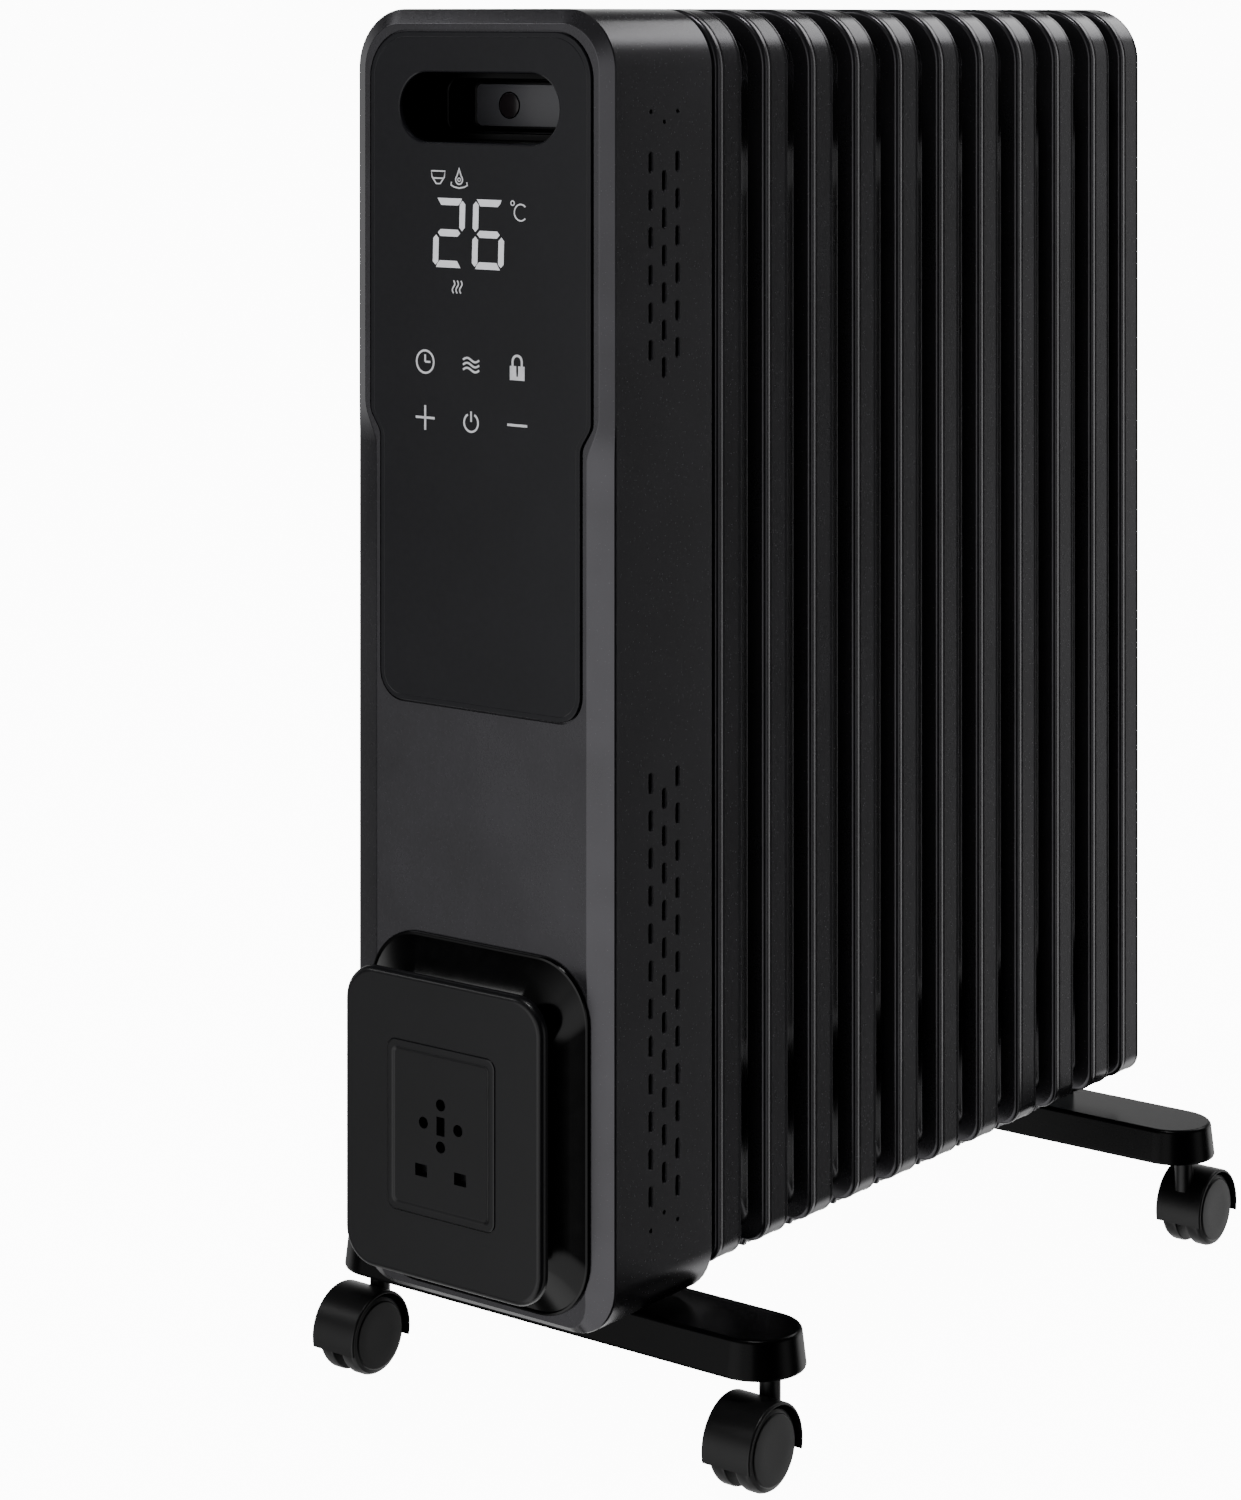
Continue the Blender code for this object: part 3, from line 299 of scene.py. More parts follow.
def turned(name, profile, axis, centre, steps=48):
    """A body turned from (radius, height) points that run from the axis to the axis."""
    centre = Vector(centre)
    points, faces, rings = [], [], []
    for radius, height in profile:
        count = 1 if radius < 1e-9 else steps
        rings.append(range(len(points), len(points) + count))
        for i in range(count):
            turn = 2 * math.pi * i / steps
            place = Vector((radius * math.cos(turn), radius * math.sin(turn), height))
            points.append(centre + TURNS[axis] @ place)
    for a, b in zip(rings, rings[1:]):
        for i in range(steps):
            j = (i + 1) % steps
            corners = (a[i % len(a)], a[j % len(a)], b[j % len(b)], b[i % len(b)])
            face = tuple(dict.fromkeys(corners))
            if len(face) > 2:
                faces.append(face)
    return mesh_object(name, points, faces)


def rod(name, radius, low, high, axis, centre, steps=48):
    return turned(name, [(0, low), (radius, low), (radius, high), (0, high)], axis,
                  centre, steps)


def arc(radius, centre, start, end, steps):
    """(a, b) points on an arc, for profiles; angles in degrees."""
    turns = [math.radians(start + (end - start) * k / (steps - 1)) for k in range(steps)]
    return [(centre[0] + radius * math.cos(t), centre[1] + radius * math.sin(t))
            for t in turns]


def apply_modifiers(obj):
    """Replaces the object's mesh by what its modifiers make, and removes them."""
    graph = bpy.context.evaluated_depsgraph_get()
    mesh = bpy.data.meshes.new_from_object(obj.evaluated_get(graph),
                                           preserve_all_data_layers=True, depsgraph=graph)
    obj.modifiers.clear()
    obj.data = mesh
    return obj


def combine(target, tool, operation):
    modifier = target.modifiers.new("Combine", "BOOLEAN")
    modifier.object = tool
    modifier.operation = operation
    modifier.solver = "EXACT"
    apply_modifiers(target)
    bpy.data.objects.remove(tool)
    work = bmesh.new()
    work.from_mesh(target.data)
    bmesh.ops.remove_doubles(work, verts=work.verts, dist=2e-6)
    bmesh.ops.dissolve_limit(work, angle_limit=math.radians(0.05), verts=work.verts,
                             edges=work.edges)
    work.to_mesh(target.data)
    work.free()
    return target


def join_loose(target, *others):
    """Puts closed bodies that don't meet into one object."""
    work = bmesh.new()
    for obj in (target, *others):
        work.from_mesh(obj.data)
    work.to_mesh(target.data)
    work.free()
    for obj in others:
        bpy.data.objects.remove(obj)
    return target


def settle(obj, angle):
    """Smooths all but the sharp edges and weighs the normals by face area."""
    obj.data.shade_smooth()
    obj.data.set_sharp_from_angle(angle=math.radians(angle))
    modifier = obj.modifiers.new("Weighted normals", "WEIGHTED_NORMAL")
    modifier.keep_sharp = True
    return apply_modifiers(obj)


def soften(obj, width):
    modifier = obj.modifiers.new("Soft edges", "BEVEL")
    modifier.width = width
    modifier.segments = 2
    modifier.limit_method = "ANGLE"
    modifier.angle_limit = math.radians(30.0)
    return apply_modifiers(obj)


def dress(obj, angle, name, finish, nodes=(), body=BODY):
    """Smooths a finished piece up to an edge angle (0 leaves it as it is), names it,
    gives it its material and hands it to the frame."""
    if angle:
        settle(obj, angle)
    if not obj.data.polygons:
        raise RuntimeError(f"{name} came out empty")
    obj.name = obj.data.name = name
    obj.data.materials.clear()
    obj.data.materials.append(finish)
    if nodes:
        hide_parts(*nodes)
    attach(obj, body)
    return obj


def repaint(node, finish):
    """A frame piece keeps its shape and gets a finish."""
    obj = frame["nodes"][node]
    for slot in obj.material_slots:
        slot.material = finish


# ---------------------------------------------------------- node tree helpers

def add_node(tree, kind, values=None, links=(), **settings):
    """Adds a node with its settings, its unlinked inputs and its links."""
    node = tree.nodes.new(kind)
    for key, value in settings.items():
        setattr(node, key, value)
    for key, value in (values or {}).items():
        node.inputs[key].default_value = value
    for source, target in links:
        tree.links.new(source, node.inputs[target])
    return node


def geometry_tree(name, inputs):
    """An empty Geometry Nodes tree with named inputs; returns it and its input node."""
    tree = bpy.data.node_groups.new(name, "GeometryNodeTree")
    tree.interface.new_socket(name="Geometry", in_out="INPUT",
                              socket_type="NodeSocketGeometry")
    tree.interface.new_socket(name="Geometry", in_out="OUTPUT",
                              socket_type="NodeSocketGeometry")
    for label, kind in inputs:
        tree.interface.new_socket(name=label, in_out="INPUT", socket_type=kind)
    return tree, tree.nodes.new("NodeGroupInput")


def place_on(tree, given, points):
    """Ends a tree: the input mesh on each point, as real geometry with its finish."""
    cloud = add_node(tree, "GeometryNodeJoinGeometry",
                     links=[(line.outputs["Mesh"], "Geometry") for line in points])
    placed = add_node(tree, "GeometryNodeInstanceOnPoints", links=[
        (cloud.outputs["Geometry"], "Points"), (given.outputs["Geometry"], "Instance")])
    real = add_node(tree, "GeometryNodeRealizeInstances",
                    links=[(placed.outputs["Instances"], "Geometry")])
    painted = add_node(tree, "GeometryNodeSetMaterial", links=[
        (real.outputs["Geometry"], "Geometry"), (given.outputs["Finish"], "Material")])
    add_node(tree, "NodeGroupOutput", links=[(painted.outputs["Geometry"], "Geometry")])
    return tree


def stack_tree():
    """Repeats a mesh along +Y: an even row, and one more at a place of its own."""
    tree, given = geometry_tree("Repeat along stack", (
        ("Count", "NodeSocketInt"), ("Start", "NodeSocketFloat"),
        ("Pitch", "NodeSocketFloat"), ("Last", "NodeSocketFloat"),
        ("Finish", "NodeSocketMaterial")))
    start, pitch, last = [
        add_node(tree, "ShaderNodeCombineXYZ", links=[(given.outputs[label], "Y")])
        for label in ("Start", "Pitch", "Last")]
    row = add_node(tree, "GeometryNodeMeshLine", links=[
        (given.outputs["Count"], "Count"), (start.outputs["Vector"], "Start Location"),
        (pitch.outputs["Vector"], "Offset")])
    single = add_node(tree, "GeometryNodeMeshLine", {"Count": 1},
                      [(last.outputs["Vector"], "Start Location")])
    return place_on(tree, given, (row, single))


def vent_tree():
    """Slots in three columns, the middle one half a pitch lower."""
    tree, given = geometry_tree("Vent slots", (
        ("Rows", "NodeSocketInt"), ("Middle Rows", "NodeSocketInt"),
        ("Row Pitch", "NodeSocketFloat"), ("Column Spacing", "NodeSocketFloat"),
        ("Middle", "NodeSocketFloat"), ("Top", "NodeSocketFloat"),
        ("Finish", "NodeSocketMaterial")))
    down = add_node(tree, "ShaderNodeMath", {1: -1.0}, [(given.outputs["Row Pitch"], 0)],
                    operation="MULTIPLY")
    offset = add_node(tree, "ShaderNodeCombineXYZ", links=[(down.outputs[0], "Z")])
    lines = []
    for column in (-1, 0, 1):
        side = add_node(tree, "ShaderNodeMath", {1: float(column)}, [
            (given.outputs["Column Spacing"], 0), (given.outputs["Middle"], 2)],
            operation="MULTIPLY_ADD")
        high = add_node(tree, "ShaderNodeMath", {1: -0.5 if column == 0 else 0.0}, [
            (given.outputs["Row Pitch"], 0), (given.outputs["Top"], 2)],
            operation="MULTIPLY_ADD")
        place = add_node(tree, "ShaderNodeCombineXYZ",
                         links=[(side.outputs[0], "Y"), (high.outputs[0], "Z")])
        rows = given.outputs["Rows" if column else "Middle Rows"]
        lines.append(add_node(tree, "GeometryNodeMeshLine", links=[
            (rows, "Count"), (place.outputs["Vector"], "Start Location"),
            (offset.outputs["Vector"], "Offset")]))
    return place_on(tree, given, lines)


def grow(obj, tree, **values):
    """Runs a Geometry Nodes tree on the object and keeps what it makes."""
    modifier = obj.modifiers.new(tree.name, "NODES")
    modifier.node_group = tree
    for item in tree.interface.items_tree:
        key = item.name.lower().replace(" ", "_")
        if item.in_out == "INPUT" and key in values:
            modifier[item.identifier] = values[key]
    return apply_modifiers(obj)


# ---------------------------------------------------------------- materials

def hex_linear(text):
    """sRGB hex to linear RGBA."""
    parts = [int(text[i:i + 2], 16) / 255 for i in (0, 2, 4)]
    return (*[c / 12.92 if c <= 0.04045 else ((c + 0.055) / 1.055) ** 2.4
              for c in parts], 1.0)


def finish(name, tones, shader_values, grain, rough, stretch=(1, 1, 1), cloud=18.0):
    """A finish with two tones that drift over the piece, roughness that varies with
    the grain, and the grain as a fine relief.

    grain is (size in metres, bump strength, relief in metres), rough is (low, high).
    """
    made = bpy.data.materials.get(name)
    if made:
        return made
    made = bpy.data.materials.new(name)
    made.use_nodes = True
    tree = made.node_tree
    shader = tree.nodes["Principled BSDF"]
    for key, value in shader_values.items():
        shader.inputs[key].default_value = value
    place = add_node(tree, "ShaderNodeTexCoord")
    mapped = add_node(tree, "ShaderNodeMapping", {"Scale": stretch},
                      [(place.outputs["Object"], "Vector")])
    drift = add_node(tree, "ShaderNodeTexNoise",
                     {"Scale": cloud, "Detail": 3.0, "Roughness": 0.6},
                     [(mapped.outputs["Vector"], "Vector")])
    fine = add_node(tree, "ShaderNodeTexNoise",
                    {"Scale": 1.0 / grain[0], "Detail": 2.0, "Roughness": 0.55},
                    [(mapped.outputs["Vector"], "Vector")])
    blend = add_node(tree, "ShaderNodeMath", {1: 0.35}, [
        (fine.outputs["Fac"], 0), (drift.outputs["Fac"], 2)], operation="MULTIPLY_ADD")
    tone = add_node(tree, "ShaderNodeValToRGB", links=[(blend.outputs[0], "Fac")])
    tone.color_ramp.elements[0].position = 0.45
    tone.color_ramp.elements[1].position = 0.90
    tone.color_ramp.elements[0].color = hex_linear(tones[0])
    tone.color_ramp.elements[1].color = hex_linear(tones[1])
    spread = add_node(tree, "ShaderNodeMapRange",
                      {"From Min": 0.25, "From Max": 0.75, "To Min": rough[0],
                       "To Max": rough[1]}, [(fine.outputs["Fac"], "Value")])
    relief = add_node(tree, "ShaderNodeBump", {"Strength": grain[1], "Distance": grain[2]},
                      [(fine.outputs["Fac"], "Height")])
    tree.links.new(tone.outputs["Color"], shader.inputs["Base Color"])
    tree.links.new(spread.outputs["Result"], shader.inputs["Roughness"])
    tree.links.new(relief.outputs["Normal"], shader.inputs["Normal"])
    return made


def powder_coat():
    """Gunmetal powder coat, sprayed and baked on sheet steel. Fine orange peel and
    metal flake spread the highlights; the peel is drawn at 1.1 mm so that it shows."""
    colours = bpy.context.scene.radiator_colours
    return finish("powder_coated_steel", (colours.paint_dark, colours.paint),
                  {"Metallic": 0.62, "Specular IOR Level": 0.5, "Coat Weight": 0.12,
                   "Coat Roughness": 0.22},
                  (0.0011, 0.10, 0.00012), (0.21, 0.28))


def smoked_fascia():
    """Moulded smoked polycarbonate with a hard clear coat: nearly black and glossy."""
    return finish("smoked_polycarbonate",
                  (bpy.context.scene.radiator_colours.fascia, "202024"),
                  {"IOR": 1.585, "Specular IOR Level": 0.16, "Coat Weight": 0.06,
                   "Coat Roughness": 0.08},
                  (0.0030, 0.010, 0.00005), (0.20, 0.25))


def gloss_black():
    """High gloss ABS from a polished mould: deep black with sharp soft reflections."""
    return finish("polished_abs", (bpy.context.scene.radiator_colours.gloss, "060607"),
                  {"IOR": 1.54, "Specular IOR Level": 0.18, "Coat Weight": 0.10,
                   "Coat Roughness": 0.05},
                  (0.0060, 0.010, 0.00008), (0.10, 0.15))


def matt_black():
    """ABS from a sandblasted mould: matt inside the finger pocket, so that it stays
    dark between its polished edges."""
    return finish("blasted_abs", ("040405", "070708"),
                  {"IOR": 1.54, "Specular IOR Level": 0.12}, (0.0010, 0.05, 0.00006),
                  (0.30, 0.40))


def satin_black():
    """ABS from a lightly etched mould: satin with a fine grain, drawn at 0.8 mm."""
    return finish("etched_abs", (bpy.context.scene.radiator_colours.satin, "17171a"),
                  {"IOR": 1.54, "Specular IOR Level": 0.22, "Coat Weight": 0.10,
                   "Coat Roughness": 0.06}, (0.0008, 0.04, 0.00005), (0.30, 0.38))


def foot_black():
    """Glass filled polypropylene feet: black, half gloss, with slow flow marks."""
    return finish("filled_polypropylene", ("070708", "0b0b0c"),
                  {"IOR": 1.49, "Specular IOR Level": 0.10},
                  (0.0014, 0.02, 0.00005), (0.20, 0.27), (1, 1, 4), 30.0)


def caster_nylon():
    """Moulded nylon casters: black and softly glossy, with fine moulding grain."""
    return finish("moulded_nylon", (bpy.context.scene.radiator_colours.nylon, "131314"),
                  {"IOR": 1.53, "Specular IOR Level": 0.32}, (0.0009, 0.06, 0.00006),
                  (0.34, 0.44))


def bare_steel():
    """Turned and ground steel: fine lines round the pin, drawn at 0.3 mm."""
    return finish("ground_steel", ("8f9194", "b2b4b6"), {"Metallic": 1.0},
                  (0.0003, 0.15, 0.00003), (0.24, 0.40), (1, 1, 6), 90.0)


def zinc_plate():
    """Bright zinc on pressed steel: grey, with cloudy grains of about 3 mm."""
    return finish("zinc_plated_steel", ("74787b", "9fa3a5"), {"Metallic": 1.0},
                  (0.0030, 0.10, 0.00010), (0.30, 0.50), cloud=160.0)


def turned_brass():
    """Turned brass flange: warm metal with fine tool lines."""
    return finish("turned_brass", ("8f7336", "b79a58"), {"Metallic": 1.0},
                  (0.0004, 0.12, 0.00004), (0.26, 0.42), (1, 6, 1), 80.0)


def element_sheath():
    """Annealed nickel alloy sheath: dull brown grey from its heat treatment."""
    return finish("annealed_alloy", ("4e4a45", "77736d"), {"Metallic": 1.0},
                  (0.0010, 0.20, 0.00006), (0.42, 0.60), (1, 0.3, 1), 60.0)


def white_nylon():
    """Natural nylon parts: milky, slightly uneven, softly shiny."""
    return finish("natural_nylon", ("c9c7bd", "dddcd4"), {"IOR": 1.53},
                  (0.0012, 0.08, 0.00006), (0.38, 0.52), cloud=70.0)


def relay_blue():
    """Relay case of moulded polyester: even blue with a dull sheen."""
    return finish("relay_polyester", ("233f75", "2f5394"), {"IOR": 1.57},
                  (0.0010, 0.08, 0.00005), (0.36, 0.50), cloud=60.0)


def display_black():
    """Display block: dark epoxy window, smooth and glossy."""
    return finish("display_epoxy", ("060608", "0c0c10"), {"IOR": 1.55, "Coat Weight": 0.4},
                  (0.0040, 0.02, 0.00004), (0.10, 0.18))


def rubber():
    """Moulded rubber bush: black and dull, with a slightly open grain."""
    return finish("moulded_rubber", ("101010", "1a1a1a"), {"IOR": 1.52},
                  (0.0007, 0.25, 0.00008), (0.62, 0.80), cloud=90.0)


def smoked_lens():
    """Infrared window: dyed acrylic that looks near black with a hint of red."""
    return finish("dyed_acrylic", ("2a2427", "302a2d"),
                  {"IOR": 1.49, "Specular IOR Level": 0.25},
                  (0.0050, 0.005, 0.00004), (0.16, 0.22))


def pocket_window_painted_light():
    """Back wall of the pocket: satin smoked panel, its colour painted much lighter than the
    fascia's to stand in for the light it catches.
    """
    return finish("satin_smoked_panel", ("55555a", "5b5b60"), {"IOR": 1.58},
                  (0.0020, 0.02, 0.00004), (0.30, 0.38))


def circuit_board():
    """Fibreglass board under green solder mask, with paler copper tracks below it:
    a grid of tracks at 5 mm drawn by two wave patterns."""
    made = finish("solder_mask", ("10402a", "175238"), {"IOR": 1.5, "Coat Weight": 0.3},
                  (0.0009, 0.10, 0.00006), (0.30, 0.42), cloud=50.0)
    tree = made.node_tree
    if any(node.bl_idname == "ShaderNodeTexWave" for node in tree.nodes):
        return made
    place = add_node(tree, "ShaderNodeTexCoord")
    shader = tree.nodes["Principled BSDF"]
    tone = shader.inputs["Base Color"].links[0].from_socket
    waves = [add_node(tree, "ShaderNodeTexWave",
                      {"Scale": 60.0, "Distortion": 2.5, "Detail": 1.0},
                      [(place.outputs["Object"], "Vector")], bands_direction=direction)
             for direction in ("X", "Z")]
    either = add_node(tree, "ShaderNodeMath", links=[
        (waves[0].outputs["Fac"], 0), (waves[1].outputs["Fac"], 1)], operation="MAXIMUM")
    track = add_node(tree, "ShaderNodeMath", {1: 0.93}, [(either.outputs[0], 0)],
                     operation="GREATER_THAN")
    mixed = add_node(tree, "ShaderNodeMix", {"B": hex_linear("3d8458")}, [
        (track.outputs[0], "Factor"), (tone, "A")], data_type="RGBA")
    tree.links.new(mixed.outputs["Result"], shader.inputs["Base Color"])
    return made


def lit_mark(name, strength):
    """Backlit ink: pale grey that glows a little, with the mesh of the light guide."""
    return finish(name, ("c9c9cd", bpy.context.scene.radiator_colours.marks),
                  {"IOR": 1.5, "Emission Strength": strength,
                   "Emission Color": hex_linear("dedee4")},
                  (0.0008, 0.02, 0.00002), (0.35, 0.45), cloud=220.0)


def floor_finish():
    """Matt white studio board lit from below, with the faintest mottling."""
    return finish("studio_board", (bpy.context.scene.radiator_colours.floor, "fafafa"),
                  {"Specular IOR Level": 0.1, "Emission Color": (1, 1, 1, 1),
                   "Emission Strength": BACKDROP}, (0.0200, 0.01, 0.0001), (0.80, 0.90),
                  cloud=0.8)


# --------------------------------------------------------------------- fins

def fin_ring(settings, inset, y):
    """A fin's outline at one depth: round corners, and near each lower corner a small
    step where the edge of the sheet is cut back."""
    half = WIDTH / 2 - inset
    fade = max(0.0, 1.0 - inset / settings.rim)
    notch = settings.notch * fade
    floor = second_low.z + inset
    low = max(settings.bottom_radius - 0.3 * inset, 0.004)
    high = max(settings.top_radius - inset, 0.006)
    points = []
    for side in (1, -1):
        corner = [(half - low + x, floor + notch + low + z)
                  for x, z in arc(low, (0, 0), -90, 0, 9)]
        step_x = WIDTH / 2 - 0.0115 - inset * 0.75
        corner = [(step_x - 0.0015, floor), (step_x, floor + notch)] + corner
        crown = [(half - high + x, TOP - inset - high + z)
                 for x, z in arc(high, (0, 0), 0, 90, 17)]
        points += [(side * x, z) for x, z in (corner + crown)[::side]]
    return at_y(points, y)


def fin_mesh(settings):
    """One fin about y = 0: web, rim, rounded nose, rolled lip, groove and band, and
    on the far side the folded edge and the rim again."""
    half, web, nose = settings.band / 2, settings.web / 2, settings.nose
    rim, deep, lip = settings.rim, settings.groove, settings.lip - settings.band / 2
    stations = [(rim + 0.0075, -web), (rim + 0.0060, -web - 0.0004),
                (rim + 0.0010, 0.0006 - half), (rim, 0.0001 - half), (rim - 0.0008, -half)]
    stations += [(nose - a, nose - half - b) for a, b in arc(nose, (0, 0), 90, 0, 7)]
    stations += [(0.0, lip), (deep * 0.25, lip + 0.0005), (deep, lip + 0.0009),
                 (deep, lip + 0.0018), (deep * 0.5, lip + 0.0026),
                 (deep * 0.5, half - 0.0022), (0.0, half - 0.0015), (0.0, half - 0.0004),
                 (0.0003, half), (0.0012, half),
                 (rim - 0.0008, half), (rim, half - 0.0001), (rim + 0.0010, half - 0.0006),
                 (rim + 0.0060, web + 0.0004), (rim + 0.0075, web)]
    fin = loft("fin", [fin_ring(settings, inset, y) for inset, y in stations])
    low, high = LOWER_HEADER + 0.036, UPPER_HEADER - 0.036
    half_width = 0.0085
    for x in (-0.030, 0.0, 0.030):
        for side in (-1, 1):
            # Pressed oil channels between the two headers.
            rings = []
            for inset, y in ((0.0, web - 0.001), (0.0, web + 0.0002),
                             (0.0022, web + 0.0018), (0.0040, web + 0.0022)):
                radius = half_width - 0.0001 - inset
                outline = rounded_rect(half_width - inset, low + inset, high - inset,
                                       radius, radius, 6)
                rings.append(at_y([(x + px, pz) for px, pz in outline], side * y))
            combine(fin, loft("channel", rings), "UNION")
    return fin


def hub_mesh(settings, reach):
    """The welded hubs between two fins, about y = 0, with their flare into the web."""
    radius = settings.header_radius
    side = [(radius + 0.0080, reach), (radius + 0.0040, reach - 0.0006),
            (radius + 0.0012, reach - 0.0026), (radius, reach - 0.0060), (radius, 0.0016),
            (radius - 0.0010, 0.0004)]
    profile = [(0, reach + 0.001), (radius + 0.0080, reach + 0.001)] + side
    profile += [(r, -y) for r, y in reversed(profile)]
    return join_loose(*[turned("hub", profile, "Y", (0, 0, z), 40)
                        for z in (UPPER_HEADER, LOWER_HEADER)])


class RADIATOR_OT_fins(bpy.types.Operator):
    """Builds the fin stack and the hubs between the fins"""
    bl_idname = "radiator.fins"
    bl_label = "Fins"

    def execute(self, context):
        settings = context.scene.radiator_fins
        tree, paint = stack_tree(), powder_coat()
        fins = grow(settle(fin_mesh(settings), 28.0), tree, count=settings.count - 1,
                    start=FIRST_FIN, pitch=settings.pitch, last=LAST_FIN, finish=paint)
        dress(fins, 0, "fin_stack", paint, FIN_NODES)
        gap = settings.pitch - settings.web
        hubs = grow(settle(hub_mesh(settings, gap / 2), 35.0), tree,
                    count=settings.count - 2, start=FIRST_FIN + settings.pitch / 2,
                    pitch=settings.pitch,
                    last=(LAST_FIN + FIRST_FIN + settings.pitch * (settings.count - 2)) / 2,
                    finish=paint)
        dress(hubs, 0, "fin_hubs", paint)
        return {"FINISHED"}


# ------------------------------------------------------------------ housing

def ease(value, low, high):
    t = min(max((value - low) / (high - low), 0.0), 1.0)
    return t * t * (3 - 2 * t)


def panel_step():
    panel = bpy.context.scene.radiator_panel
    return panel_low.z + panel.step_low, panel_low.z + panel.step_high


def housing_ring(settings, share, y, flat=0.0):
    """The housing's outline at one depth. share 1 is the inner end of the bevel and 0
    its outer end; flat moves the whole outline in."""
    low, high = shell_low.z + flat, TOP - flat
    r_low = settings.bottom_radius - flat
    r_high = settings.top_radius - flat
    half = WIDTH / 2 - flat
    step_low, step_high = panel_step()
    heights = [low + r_low + (step_low - low - r_low) * k / 5 for k in range(1, 5)]
    heights += [step_low + (step_high - step_low) * k / 8 for k in range(-2, 11)]
    heights += [step_high + 0.03, high - r_high - 0.01]
    right = []
    for k, (x, z) in enumerate(arc(r_low, (half - r_low, low + r_low), -90, 0, 11)):
        angle = math.radians(-90 + 9 * k)
        turn = 0.0030 + (settings.low_bevel - 0.0030) * ease(k, 0, 8)
        right.append((x, z, math.cos(angle), math.sin(angle), turn))
    for z in heights:
        turn = settings.low_bevel + (settings.bevel - settings.low_bevel) * ease(
            z, step_low - 0.006, step_high + 0.003)
        right.append((half, z, 1.0, 0.0, turn))
    for k, (x, z) in enumerate(arc(r_high, (half - r_high, high - r_high), 0, 90, 17)):
        angle = math.radians(90 * k / 16)
        right.append((x, z, math.cos(angle), math.sin(angle), settings.bevel))
    points = [(x - nx * turn * share, z - nz * turn * share)
              for x, z, nx, nz, turn in right]
    points += [(-x, z) for x, z in reversed(points)]
    return at_y(points, FRONT + y)


def panel_outline(inset):
    """(x, z) outline of the panel: wide above, an S step each side, narrower below."""
    panel = bpy.context.scene.radiator_panel
    top = (panel_high.x - panel_low.x) / 2 - inset
    low = top - panel.low_side
    roof, floor = panel_high.z - inset, panel_low.z + inset
    big, small = panel.top_radius - inset, panel.bottom_radius - inset
    step_low, step_high = panel_step()
    right = arc(small, (low - small, floor + small), -90, 0, 11)
    right += [(low + (top - low) * ease(k, 0, 10),
               step_low + (step_high - step_low) * k / 10) for k in range(11)]
    right += arc(big, (top - big, roof - big), 0, 90, 15)
    return right + [(-x, z) for x, z in reversed(right)]


def pocket_outline(inset, corner=None):
    """The pocket's section: round ends at the mouth, or corners of their own radius."""
    panel = bpy.context.scene.radiator_panel
    middle = (tray_low.z + tray_high.z) / 2
    half = panel.pocket_height / 2 - inset
    radius = min(corner or half, half - 0.00005)
    return rounded_rect(panel.pocket_width / 2 - inset, middle - half, middle + half,
                        radius, radius, 13)


def slot_cutter(settings):
    """A vent slot that runs through both side walls, with a flared mouth outside."""
    rings, half = [], WIDTH / 2
    for x, extra in ((-half - 0.0005, 0.0008), (-half + 0.0006, 0.0),
                     (half - 0.0006, 0.0), (half + 0.0005, 0.0008)):
        across, along = settings.slot_width / 2 + extra, settings.slot_length / 2 + extra
        radius = across - 0.0001
        outline = rounded_rect(across, -along, along, radius, radius, 4)
        rings.append([Vector((x, y, z)) for y, z in outline])
    return loft("slot", rings)


def housing_shell(settings):
    """The housing's wall with the panel's seat, the pocket's opening, vents and bore."""
    wall, back = settings.wall, shell_high.y - FRONT
    depth = settings.bevel_depth
    stations = ((1.0, 0.0), (0.93, 0.00006), (0.05, depth - 0.0002), (0.0, depth + 0.0005),
                (0.0, depth + 0.0018), (0.0, back - 0.0008), (0.0, back, 0.0006),
                (0.0, back, wall), (0.0, depth + wall, wall), (0.9, wall, wall))
    shell = loft("shell", [housing_ring(settings, *station) for station in stations])
    panel = bpy.context.scene.radiator_panel
    combine(shell, slab("seat", panel_outline(-panel.seam), FRONT - 0.01, FRONT + 0.0017),
            "DIFFERENCE")
    combine(shell, slab("mouth", pocket_outline(-panel.pocket_wall - 0.0004),
                        FRONT - 0.01, FRONT + 0.01), "DIFFERENCE")
    tree = vent_tree()
    for upper in (True, False):
        cut_vents(settings, shell, tree, upper)
    centre = (gland_low + gland_high) / 2
    return combine(shell, rod("bore", 0.0062, -0.02, 0.02, "X",
                              (shell_low.x, centre.y, centre.z), 32), "DIFFERENCE")


def cut_vents(settings, shell, tree, upper):
    """One group of vent slots through both sides, with a blind dot that ends each
    column: above the upper group, below the lower one."""
    if upper:
        rows = middle_rows = settings.upper_rows
        top, dots = TOP - settings.upper_drop, (0.0221, 0.0257)
    else:
        rows, middle_rows = settings.lower_rows, settings.lower_rows - 1
        top, dots = panel_low.z - settings.lower_drop, (0.0147, 0.0173)
    middle, pitch = FRONT + settings.vent_y, settings.slot_pitch
    combine(shell, grow(slot_cutter(settings), tree, rows=rows,
                        middle_rows=middle_rows, row_pitch=pitch, middle=middle, top=top,
                        column_spacing=settings.column_spacing, finish=powder_coat()),
            "DIFFERENCE")
    for column in (-1, 0, 1):
        first, count, reach = (top, rows, dots[0]) if column else (
            top - pitch / 2, middle_rows, dots[1])
        z = first + reach if upper else first - pitch * (count - 1) - reach
        for side in (-1, 1):
            place = (side * WIDTH / 2, middle + column * settings.column_spacing, z)
            combine(shell, rod("dot", 0.0011, -0.0016, 0.0016, "X", place, 16),
                    "DIFFERENCE")


